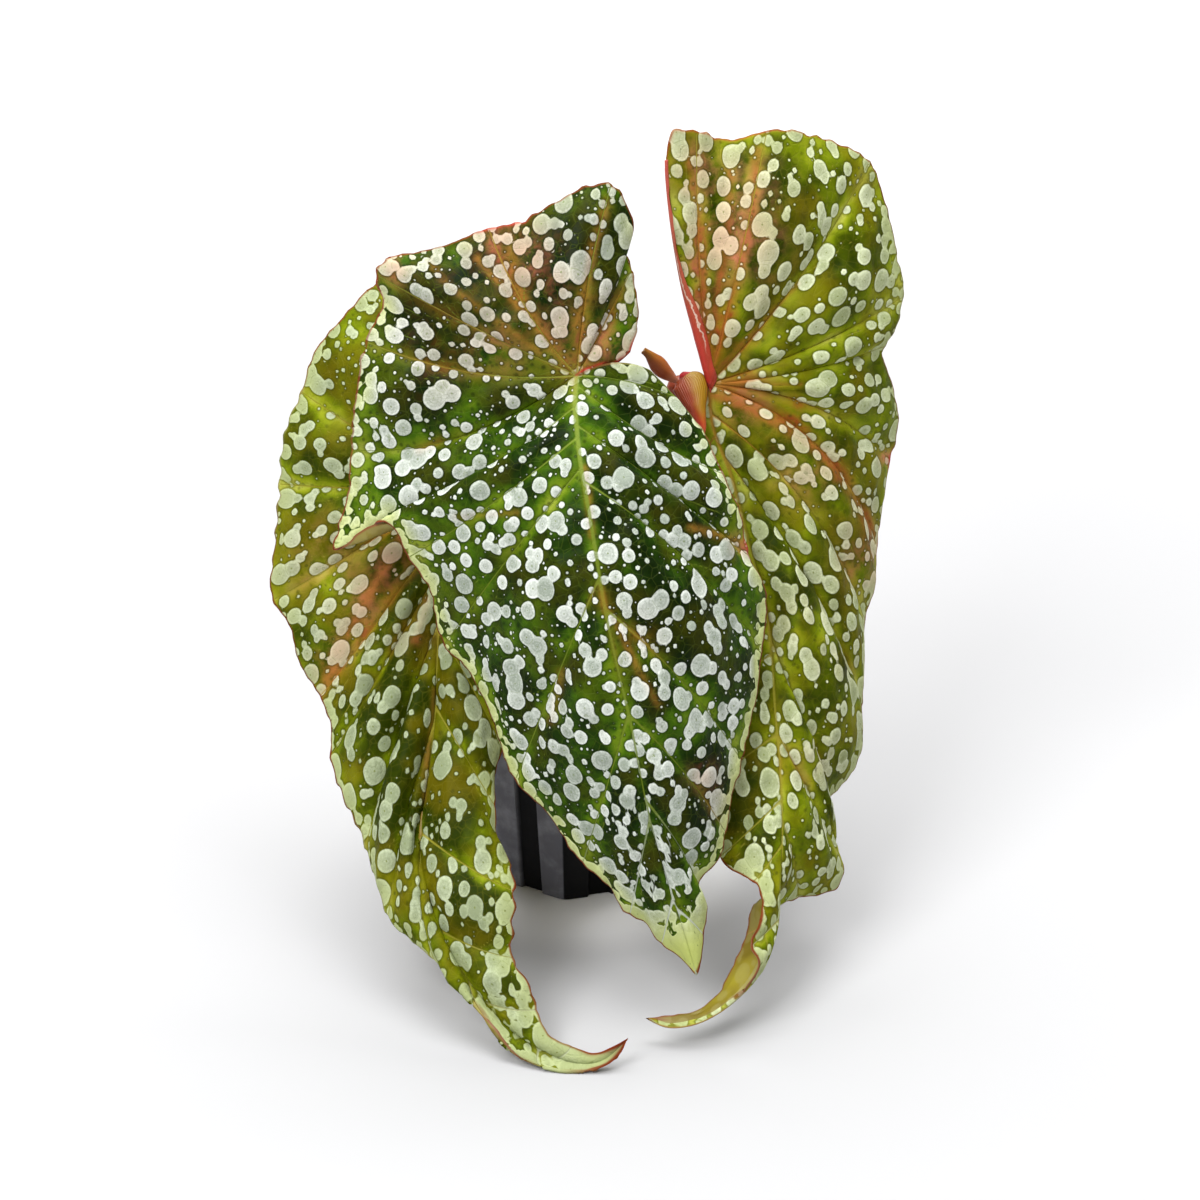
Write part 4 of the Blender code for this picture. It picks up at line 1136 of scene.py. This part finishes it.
# The jointed stem: brown, darker at its joints and orange-brown at the top, with pale raised flecks.
def caneLook():
    made, shader, wire = finish("caneBark")
    place = wire.place()
    clouds = wire.noise(place, 140.0, 4.0)
    flecks = wire.noise(wire.place(1000.0, 1000.0, 520.0), 1.0, 1.0)
    knob = wire.attribute("knob").ease(2.5, 3.2)
    colour = wire.mix(clouds.ease(0.35, 0.65), paint(118, 66, 20), paint(150, 92, 30))
    colour = wire.mix(knob * 0.8, colour, paint(96, 34, 14))
    colour = wire.mix(wire.attribute("along").ease(0.86, 0.95) * 0.85, colour, paint(146, 50, 8))
    colour = wire.mix(flecks.ease(0.66, 0.72) * 0.7, colour, paint(196, 166, 104))
    bump = wire.bump(0.5, 0.0004, flecks + clouds * 0.6)
    wire.feed(shader, {"Base Color": colour, "Roughness": clouds * 0.25 + 0.3, "Normal": bump})
    return made


stalk(caneBody, caneLook())
crimson = stalkLook()
for settings in (frontStalk, leftStalk, rightStalk):
    stalk(settings, crimson)


# sheaths at the crown, and the red rolled margin beside the right leaf's stalk
# Each is a sheet carried along a line: S(t, s) = C(t) + s (1 - n s^2) w(t) side
# + (1 - s^2 - c |s|^5) k(t) towards the front, with w half the width, k the height of the keel,
# n the narrowing and c the curl; its edges are ruffled by a sine.
upperSheath = {
    "name": "upperSheath", "node": "stipule_upper", "slot": "sheath_brown", "thickness": 0.0007,
    "steps": 90, "across": 33, "curlOver": 0.35, "narrowing": 0.12,
    "thinnest": 0.02,                  # least half width and keel (mm)
    "ruffle": (0.00012, 26, 5),        # height (m), waves along and lean across
    # across, down, in front, half width, keel
    "route": [
        (643.5, 350.5, 13.4, 1.2, 0.5), (648, 354, 12.6, 1.5, 0.6), (652.5, 358.5, 11.8, 2.2, 0.9),
        (657, 363.5, 10.8, 3.0, 1.2), (662, 369, 10.0, 3.1, 1.3), (667, 373.5, 9.2, 2.6, 1.1),
        (671.5, 377, 8.4, 1.9, 0.8), (676, 380.5, 7.8, 1.1, 0.5), (681, 384, 7.2, 0.15, 0.1),
    ],
}
lowerSheath = {
    **upperSheath, "name": "lowerSheath", "node": "stipule_lower",
    "route": [
        (684.5, 376.5, 10.2, 3.4, 0.8), (687.5, 381, 11.0, 5.8, 1.5), (691, 389, 12.6, 6.0, 2.0),
        (693.6, 398, 14.2, 5.1, 2.1), (696, 407, 16.0, 3.7, 1.9), (699.5, 418, 18.2, 2.4, 1.3),
        (702.6, 428, 20.0, 1.3, 0.7), (703.8, 436, 21.2, 0.15, 0.1),
    ],
}
# The red margin lies on the right leaf, along its first row, from the stalk up.
redMargin = {
    **upperSheath, "name": "redMargin", "node": None, "slot": "stalk_red", "thickness": 0.0006,
    "steps": 150, "across": 17, "lift": 0.0005,
    # share of the way up, half width, keel
    "strip": [
        (0.0, 1.4, 0.4), (0.05, 1.8, 0.6), (0.12, 2.1, 0.7), (0.2, 2.3, 0.7), (0.32, 2.2, 0.6),
        (0.45, 1.6, 0.4), (0.6, 0.9, 0.3), (0.8, 0.5, 0.2), (0.99, 0.15, 0.05),
    ],
}


# The middle line and the sheet of the strip: each step goes sideways over the leaf's rows, by the
# strip's whole width, from the leaf's own edge.
def marginStrip(settings, table):
    rows = halfBlade(leafRight, "right", sharedRoots(leafRight))["sheet"]
    rows = rows[: len(rows) // 2]
    knots = table[:, 0]
    where = np.linspace(knots[0], knots[-1], settings["steps"])
    wide, keel = mm * np.maximum(smoothLine(table[:, 1:], knots, where), settings["thinnest"]).T
    share = 0.5 + 0.5 * np.linspace(-1, 1, settings["across"])
    sheet = np.empty((len(where), len(share), 3))
    for step, place in enumerate(where * (rows.shape[1] - 1)):
        column = min(int(place), rows.shape[1] - 2)
        line = rows[:, column] + (place - column) * (rows[:, column + 1] - rows[:, column])
        reach = np.concatenate([[0.0], np.cumsum(np.linalg.norm(np.diff(line, axis=0), axis=1))])
        for axis in range(3):
            sheet[step, :, axis] = np.interp(2 * wide[step] * share, reach, line[:, axis])
    across = unit(sheet[:, -1] - sheet[:, 0])
    out = unit(np.cross(across, unit(np.gradient(sheet[:, 0], axis=0))))
    out *= -np.sign(out @ lookAhead)[:, None]
    return sheet + settings["lift"] * out[:, None], where, keel, out


def sheathSheet(settings, look):
    s = np.linspace(-1, 1, settings["across"])
    lift = 1 - s**2 - settings["curlOver"] * np.abs(s) ** 5
    if "strip" in settings:
        sheet, where, keel, out = marginStrip(settings, np.asarray(settings["strip"], float))
    else:
        table = np.asarray(settings["route"], float)
        places = seenAt(table[:, :3])
        knots = stepsAlong(places)
        where = np.linspace(0, 1, settings["steps"])
        line = smoothLine(places, knots, where)
        wide, keel = mm * np.maximum(smoothLine(table[:, 3:], knots, where), settings["thinnest"]).T
        heading = unit(np.gradient(line, axis=0))
        side = unit(np.cross(heading, -lookAhead))
        out = np.cross(side, heading)
        arc = s * (1 - settings["narrowing"] * s**2)
        sheet = line[:, None] + (wide[:, None] * arc)[..., None] * side[:, None]
    height, waves, lean = settings["ruffle"]
    ruffle = height * np.sin(waves * where[:, None] + lean * s) * np.abs(s) ** 3
    sheet = sheet + (keel[:, None] * lift + ruffle)[..., None] * out[:, None]
    rows, across = sheet.shape[:2]
    index = np.arange(rows * across).reshape(rows, across)
    corners = [index[:-1, :-1], index[:-1, 1:], index[1:, 1:], index[1:, :-1]]
    faces = np.stack(corners, 2).reshape(-1, 4)
    middle = across // 2
    facing = np.cross(sheet[1, middle] - sheet[0, middle], sheet[0, middle + 1] - sheet[0, middle])
    if facing @ lookAhead < 0:
        faces = faces[:, ::-1]
    thing = meshFrom(settings["name"], sheet.reshape(-1, 3), faces, look)
    thick = thing.modifiers.new("thickness", "SOLIDIFY")
    thick.thickness = settings["thickness"]
    thick.offset = -1.0
    fields = {"along": np.repeat(where, across), "across": np.tile(s, rows)}
    dress(thing, settings["node"], fields)
    print("made", settings["name"])


# A sheath's colours run along it and from its left edge to its right one, with fine veins. Some
# have a painted highlight: a pale line near the right edge.
def sheathLook(name, tones):
    made, shader, wire = finish(name)
    place = wire.place()
    along, across = wire.attribute("along"), wire.attribute("across")
    clouds = wire.noise(place, 260.0, 3.0)
    shift = along + (clouds - 0.5) * 0.25
    body = wire.add("ShaderNodeValToRGB", {"stops": tones["along"]}, {"Fac": shift})
    side = (across * tones["turn"] + (clouds - 0.5) * 0.4).ease(*tones["fold"])
    flank = wire.mix(side, tones["dark"], tones["light"])
    colour = wire.mix(along.ease(0.55, 0.92, tones["flank"], 0.1), body, flank)
    lines = wire.add("ShaderNodeTexWave", {"bands_direction": "X"}, {
        "Vector": wire.add("ShaderNodeCombineXYZ", {}, {"X": across, "Y": along * 0.25}),
        "Scale": 2.6, "Distortion": 1.2, "Detail": 2.0,
    }, out="Fac")
    colour = wire.mix(lines.ease(0.75, 1.0) * 0.35, colour, tones["line"])
    colour = wire.mix(across.absolute().ease(0.86, 0.98) * 0.6, colour, tones["rim"])
    # painted highlight: a pale wavy line near the right edge, partway along
    highlightLine = across + (wire.noise(place, 420.0, 2.0) - 0.5) * 0.8 - 0.5
    highlightLine = highlightLine.absolute().ease(0.04, 0.12, 1.0, 0.0) * along.ease(0.12, 0.22)
    colour = wire.mix(highlightLine * along.ease(0.5, 0.62, 1.0, 0.0) * tones["highlightLine"], colour, paint(240, 216, 196))
    bump = wire.bump(0.4, 0.0003, lines + clouds)
    wire.feed(shader, {"Base Color": colour, "Roughness": clouds * 0.2 + 0.3, "Normal": bump})
    letThrough(made, shader, wire, 0.18, tones["glow"])
    return made


upperTones = {
    "along": [
        (0.0, 130, 116, 10), (0.16, 158, 120, 8), (0.28, 196, 110, 14),
        (0.6, 176, 78, 12), (0.74, 214, 130, 90), (0.95, 232, 170, 150),
    ],
    "turn": -1.0, "fold": (-0.2, 0.5), "flank": 0.55,
    "dark": paint(112, 40, 4), "light": paint(186, 104, 22),
    "line": paint(196, 130, 50), "rim": paint(150, 60, 30), "glow": paint(230, 120, 30), "highlightLine": 0.0,
}
lowerTones = {
    "along": [
        (0.0, 150, 84, 12), (0.3, 184, 84, 12), (0.6, 206, 78, 18),
        (0.8, 216, 64, 34), (0.97, 228, 98, 72),
    ],
    "turn": -1.0, "fold": (-0.3, 0.5), "flank": 0.8,
    "dark": paint(136, 40, 4), "light": paint(164, 136, 18),
    "line": paint(140, 56, 16), "rim": paint(150, 52, 22), "glow": paint(160, 50, 6), "highlightLine": 0.0,
}
marginTones = {
    "along": [
        (0.0, 196, 16, 18), (0.2, 204, 44, 34), (0.36, 196, 84, 60),
        (0.6, 190, 96, 76), (1.0, 196, 84, 74),
    ],
    # the red margin carries the painted highlight line
    "turn": 1.0, "fold": (-0.3, 0.4), "flank": 0.45, "highlightLine": 0.8,
    "dark": paint(214, 70, 56), "light": paint(156, 74, 36),
    "line": paint(220, 120, 96), "rim": paint(186, 84, 56), "glow": paint(240, 80, 50),
}
sheathSheet(upperSheath, sheathLook("upperSheathSkin", upperTones))
sheathSheet(lowerSheath, sheathLook("lowerSheathSkin", lowerTones))
sheathSheet(redMargin, sheathLook("redMarginSkin", marginTones))


# pot and potting mix
potMake = {
    "sides": 8, "turn": math.radians(-98.4), "height": 0.078, "footRadius": 0.0320,
    "rimRadius": 0.0395, "wall": 0.0022, "floor": 0.0020, "corner": 0.0022, "fluteHalf": 0.0034,
    "fluteSlope": 0.0007, "fluteDepth": 0.0013, "fluteTop": 0.0640, "lip": 0.0070,
    "lipOut": 0.0012, "edge": 0.0008, "drainRadius": 0.0035, "drainCircle": 0.0170,
    "across": 56,            # points across each side
    "bunching": 1.05,        # above 1, they stand closer in its middle
    "footSteps": 6, "wallSteps": 40, "runOutSteps": 8, "lipSteps": 6, "rimSteps": 8,
    "innerRimSteps": 6, "insideSteps": 12, "drainSteps": 32, "drainCut": 0.006,
    "litSideFade": (0.75, 0.2),          # facing from which a side is painted lighter grey as lit, and to its full strength
    "sharpFrom": math.radians(50),       # edges sharper than this are drawn sharp
    "litSideFrom": math.radians(-121.0),       # the side that faces this way, towards the key lamp, is painted grey as painted light
}


# One level of the pot: a regular polygon whose corners are rounded by arcs, with a flute in the
# middle of each side that sinks along a smooth step.
def potLevel(radius, depth, height):
    turn = math.pi / potMake["sides"]
    flat = radius * math.cos(turn)
    half = radius * math.sin(turn)
    along = np.linspace(-1, 1, potMake["across"], endpoint=False)
    along = half * np.sign(along) * np.abs(along) ** potMake["bunching"]
    corner = potMake["corner"]
    over = np.clip((np.abs(along) - (half - corner)) / corner, 0, 1)
    out = flat - 0.5 * corner * math.tan(turn) * over**2
    slope = potMake["fluteSlope"]
    step = np.clip((potMake["fluteHalf"] + slope - np.abs(along)) / slope, 0, 1)
    out = out - depth * step**2 * (3 - 2 * step)
    angles = potMake["turn"] + turn * (2 * np.arange(potMake["sides"]) + 1)
    across = out * np.cos(angles)[:, None] - along * np.sin(angles)[:, None]
    deep = out * np.sin(angles)[:, None] + along * np.cos(angles)[:, None]
    ring = np.stack([across, deep, np.full_like(across, height)], axis=2)
    return ring.reshape(-1, 3), np.tile(step * (depth > 0), potMake["sides"])


def wallRadius(height):
    grow = (potMake["rimRadius"] - potMake["footRadius"]) / potMake["height"]
    return potMake["footRadius"] + grow * height


def innerRadius(height):
    return wallRadius(height) - potMake["wall"] / math.cos(math.pi / potMake["sides"])


def quarterTurn(steps):
    return [0.5 * math.pi * k for k in np.linspace(0, 1, steps)]


def pot(look):
    m = potMake
    top, lip, edge, flute = m["height"], m["height"] - m["lip"], m["edge"], m["fluteTop"]
    levels = []
    for a in quarterTurn(m["footSteps"]):       # rounded foot
        out = wallRadius(edge) - edge * (1 - math.sin(a))
        levels.append((out, m["fluteDepth"], edge * (1 - math.cos(a))))
    for h in np.linspace(edge, flute, m["wallSteps"])[1:]:
        levels.append((wallRadius(h), m["fluteDepth"], h))
    for k in np.linspace(0, 1, m["runOutSteps"])[1:]:    # the flutes run out
        h = flute + 2 * m["fluteDepth"] * k
        levels.append((wallRadius(h), m["fluteDepth"] * math.cos(0.5 * math.pi * k) ** 2, h))
    for k in np.linspace(0, 1, m["lipSteps"]):        # step out to the lip
        h = lip + 0.5 * edge * k
        levels.append((wallRadius(h) + m["lipOut"] * (3 * k * k - 2 * k**3), 0.0, h))
    levels.append((wallRadius(lip + 2 * edge) + m["lipOut"], 0.0, lip + 2 * edge))
    for a in quarterTurn(m["rimSteps"]):        # rounded rim
        out = wallRadius(top) + m["lipOut"] - edge * (1 - math.cos(a))
        levels.append((out, 0.0, top - edge * (1 - math.sin(a))))
    for a in quarterTurn(m["innerRimSteps"]):
        out = innerRadius(top) + 0.5 * edge * (1 - math.sin(a))
        levels.append((out, 0.0, top - 0.5 * edge * (1 - math.cos(a))))
    for h in np.linspace(top - edge, m["floor"], m["insideSteps"]):
        levels.append((innerRadius(h), 0.0, h))
    rings, flutes = zip(*[potLevel(*level) for level in levels])
    points, faces = closedGrid(np.stack(rings))
    shell = meshFrom("blackPot", points, faces)
    flute = np.concatenate([*flutes, [0.0, 0.0]])
    turn = 2 * math.pi / m["sides"]
    # painted light: the sides that face the key lamp are marked to be painted a lighter grey
    side = np.floor((np.arctan2(points[:, 1], points[:, 0]) - m["turn"]) / turn)
    facing = np.cos(m["turn"] + turn * (side + 0.5) - m["litSideFrom"])
    begins, over = m["litSideFade"]
    keep(shell.data, {"flute": flute, "weather": np.clip((facing - begins) / over, 0, 1)})
    cutters = []
    for k in range(m["sides"]):
        angle = m["turn"] + 2 * math.pi * k / m["sides"]
        around = np.linspace(0, 2 * math.pi, m["drainSteps"], endpoint=False)
        ring = np.stack([np.cos(around), np.sin(around), 0 * around], 1) * m["drainRadius"]
        centre = m["drainCircle"] * np.array([math.cos(angle), math.sin(angle), 0.0])
        past = [0, 0, m["drainCut"]]
        cutters.append(closedGrid(np.stack([ring + centre - past, ring + centre + past])))
    sizes = np.cumsum([0] + [len(p) for p, _ in cutters])
    places = np.concatenate([p for p, _ in cutters])
    sides = [[corner + start for corner in face] for (_, f), start in zip(cutters, sizes) for face in f]
    cutter = meshFrom("drains", places, sides)
    cut = shell.modifiers.new("drains", "BOOLEAN")
    cut.solver = "EXACT"
    cut.object = cutter
    ready = shell.evaluated_get(bpy.context.evaluated_depsgraph_get())
    finished = bpy.data.meshes.new_from_object(ready)
    shell.modifiers.clear()
    shell.data = finished
    bpy.data.objects.remove(cutter, do_unlink=True)
    finished.materials.clear()
    finished.materials.append(look)
    finished.shade_smooth()
    finished.set_sharp_from_angle(angle=m["sharpFrom"])
    dress(shell, "pot")
    print("made the pot")


# Moulded black plastic: faint upright drag lines and fine grain. The side that faces the key lamp is
# painted a mottled grey as painted light, and the flutes are painted near black as painted shade.
def potLook():
    made, shader, wire = finish("blackPlastic")
    place = wire.place()
    grain = wire.noise(place, 2600.0, 2.0)
    drag = wire.noise(wire.place(700.0, 700.0, 30.0), 1.0, 3.0)
    dustAndSheen = wire.noise(place, 120.0, 5.0, 0.6)
    flute = wire.attribute("flute")
    # painted light: the side that faces the key lamp is a mottled grey; the same noise varies roughness
    # and bumps
    litGrey = wire.mix(dustAndSheen.ease(0.4, 0.75), paint(96, 96, 102), paint(124, 124, 130))
    colour = wire.mix(wire.attribute("weather"), paint(12, 12, 13), litGrey)
    # painted shade: the flutes' recesses are painted near black
    colour = wire.mix(flute * 0.97, colour, paint(1, 1, 1))
    bump = wire.bump(0.25, 0.0002, grain * 0.6 + drag * 0.5 + dustAndSheen * 0.6)
    wire.feed(shader, {
        "Base Color": colour, "Roughness": drag * 0.14 + dustAndSheen * 0.14 + flute * 0.3 + 0.26,
        "Normal": bump, "Specular IOR Level": 0.12,
    })
    return made


soilMake = {
    "top": 0.0640, "mound": 0.0030, "gap": 0.00088, "holeRadius": 0.0036, "holeFloor": 0.0300,
    "around": 200, "rings": 70, "lumps": ((0.0075, 0.0007), (0.0030, 0.0004), (0.0014, 0.0002)),
    "crumbs": 520, "seed": 41,
    "overFloor": 0.0004,               # gap between the mix and the pot's floor
    "lumpFade": (0.04, 0.05),          # where lumps fade, at the wall and at the hole
    "crumbReach": (0.03, 0.93), "crumbSpan": (0.92, 0.001),
    "crumbSize": (0.5, 1.0, 0.0020), "crumbLift": 0.0003, "crumbShape": (1.6, 0.9, 0.6),
    "crumbSquash": (0.35, 1.0), "crumbDent": (0.6, 1.0),
}


# The mix is a column whose top is mounded and lumpy: z = top + mound (1 - r^2) + lumps.
def soil(look):
    m = soilMake
    base = potMake["floor"] + m["overFloor"]
    turn = math.pi / potMake["sides"]
    angle = np.linspace(0, 2 * math.pi, m["around"], endpoint=False)
    wedge = (angle - potMake["turn"]) % (2 * turn) - turn
    polygon = math.cos(turn) / np.cos(wedge)
    spread = np.stack([np.cos(angle), np.sin(angle)], 1)

    def ring(reach, height):
        flat = spread * np.asarray(reach)[..., None]
        return np.concatenate([flat, np.broadcast_to(height, flat.shape[:1])[:, None]], 1)

    rings = [ring(polygon * (innerRadius(base) - m["gap"]), base)]
    outer = polygon * (innerRadius(m["top"]) - m["gap"])
    for r in np.linspace(1.0, 0.0, m["rings"]):
        reach = m["holeRadius"] + r * (outer - m["holeRadius"])
        flat = spread * reach[:, None]
        height = m["top"] + m["mound"] * (1 - r**2)
        fade = min(1.0, (1 - r) / m["lumpFade"][0]) * min(1.0, r / m["lumpFade"][1])
        lumps = sum(size * ripple(flat, length, 60 + k) for k, (length, size) in enumerate(m["lumps"]))
        rings.append(ring(reach, height + fade * lumps))
    rings.append(ring(np.full(m["around"], m["holeRadius"]), m["holeFloor"]))
    thing = meshFrom("pottingMix", *closedGrid(np.stack(rings)), look)
    dress(thing, "soil")
    print("made the potting mix")


# Crumbs of bark and fibre: squashed eight-cornered lumps, turned and sized at random.
def crumbs(look):
    m = soilMake
    draw = np.random.default_rng(m["seed"])
    count = m["crumbs"]
    share, less = m["crumbSpan"]
    reach = np.sqrt(draw.uniform(*m["crumbReach"], count)) * (innerRadius(m["top"]) * share - less)
    angle = draw.uniform(0, 2 * math.pi, count)
    low, high, biggest = m["crumbSize"]
    size = draw.uniform(low, high, count) ** 2 * biggest
    flat = np.stack([np.cos(angle), np.sin(angle)], 1) * reach[:, None]
    height = m["top"] + m["mound"] * (1 - (reach / innerRadius(m["top"])) ** 2) + m["crumbLift"]
    corners = np.array([(x, y, z) for x in (-1, 1) for y in (-1, 1) for z in (-1, 1)], float)
    shape = corners * draw.uniform(*m["crumbSquash"], (count, 1, 3))
    shape = shape * draw.uniform(*m["crumbDent"], (count, 8, 3))
    turns = np.linalg.qr(draw.normal(size=(count, 3, 3)))[0]
    turns *= np.sign(np.linalg.det(turns))[:, None, None]
    shape = np.einsum("nij,nkj->nki", turns, shape * m["crumbShape"]) * size[:, None, None] * 0.5
    shape += np.concatenate([flat, height[:, None]], 1)[:, None]
    box = np.array([(0, 1, 3, 2), (4, 6, 7, 5), (0, 4, 5, 1), (2, 3, 7, 6), (0, 2, 6, 4), (1, 5, 7, 3)])
    faces = (box[None] + 8 * np.arange(count)[:, None, None]).reshape(-1, 4)
    thing = meshFrom("mixCrumbs", shape.reshape(-1, 3), faces, look)
    rounded = thing.modifiers.new("rounded", "SUBSURF")
    rounded.levels = 1
    rounded.render_levels = 1
    dress(thing, None)
    print("made", count, "crumbs")


# Dark brown mix with paler fibres, painted near black in its hollows as painted shade.
def soilLook():
    made, shader, wire = finish("darkMix")
    place = wire.place()
    coarse = wire.noise(place, 420.0, 5.0, 0.7)
    fine = wire.noise(place, 2200.0, 3.0, 0.6)
    fibre = wire.noise(wire.place(1800.0, 260.0, 700.0), 1.0, 2.0)
    colour = wire.mix(coarse.ease(0.35, 0.7), paint(26, 17, 10), paint(74, 50, 31))
    colour = wire.mix(fibre.ease(0.62, 0.72) * 0.6, colour, paint(120, 88, 56))
    # painted shade: near black where the bump is low
    colour = wire.mix(fine.ease(0.3, 0.6, 0.5, 0.0), colour, paint(12, 8, 5))
    bump = wire.bump(0.9, 0.0008, coarse + fine * 0.5)
    wire.feed(shader, {
        "Base Color": colour, "Roughness": 0.95, "Specular IOR Level": 0.2, "Normal": bump,
    })
    return made


pot(potLook())
mix = soilLook()
soil(mix)
crumbs(mix)


# floor, light and camera
studio = {
    "floor": paint(174, 174, 175),
    "farFloor": paint(242, 242, 242),
    "floorFade": (0.30, 1.6),          # the floor is painted darker around the plant as painted shade, and lighter far off as painted light where the lamps fall off (m)
    "footFade": (0.040, 0.068),        # and painted lighter again at the pot's foot, painted light that lifts the shadow there
    "halfSide": 6.0,
    "world": 0.37,
    "aim": (0.0, -0.04, 0.12),         # where both lights point
    "lights": [
        # name, place, size, watts
        ("keyLight", (-0.9, -1.3, 1.7), 1.0, 42.0),
        ("topLight", (0.1, 0.38, 1.9), 2.2, 84.0),
    ],
}


def stageFloor():
    made, shader, wire = finish("floorPaper")
    away = wire.add("ShaderNodeVectorMath", {"operation": "LENGTH"}, {0: wire.place()}, out="Value")
    # painted shade and light: darker near the plant, lighter far off and at the pot's foot
    colour = wire.mix(away.ease(*studio["floorFade"]), studio["floor"], studio["farFloor"])
    colour = wire.mix(away.ease(*studio["footFade"], 0.8, 0.0), colour, studio["farFloor"])
    wire.feed(shader, {"Base Color": colour, "Roughness": 0.9, "Specular IOR Level": 0.1})
    corners = studio["halfSide"] * np.array([(-1, -1, 0), (1, -1, 0), (1, 1, 0), (-1, 1, 0)])
    floor = meshFrom("floor", corners, [(0, 1, 2, 3)], made)


def softLight(name, place, size, watts):
    lamp = bpy.data.lights.new(name, "AREA")
    lamp.energy = watts
    lamp.size = size
    thing = placed(name, lamp)
    thing.location = place
    aim = Vector(studio["aim"]) - Vector(place)
    thing.rotation_euler = aim.to_track_quat("-Z", "Y").to_euler()


stageFloor()
for light in studio["lights"]:
    softLight(*light)
world = bpy.data.worlds.new("studio")
world.use_nodes = True
world.node_tree.nodes["Background"].inputs["Color"].default_value = (1.0, 1.0, 1.0, 1.0)
world.node_tree.nodes["Background"].inputs["Strength"].default_value = studio["world"]
bpy.context.scene.world = world
bpy.context.scene.view_settings.view_transform = "Standard"

lens = bpy.data.cameras.new("photoView")
lens.sensor_width = camera["film"]
lens.lens = camera["film"] * camera["focal"] / camera["picture"]
lens.clip_start = camera["near"]
viewer = placed("photoView", lens)
viewer.location = eye
viewer.rotation_euler = (math.pi / 2 - camera["tilt"], 0.0, 0.0)
bpy.context.scene.camera = viewer
print("floor, light and camera placed")
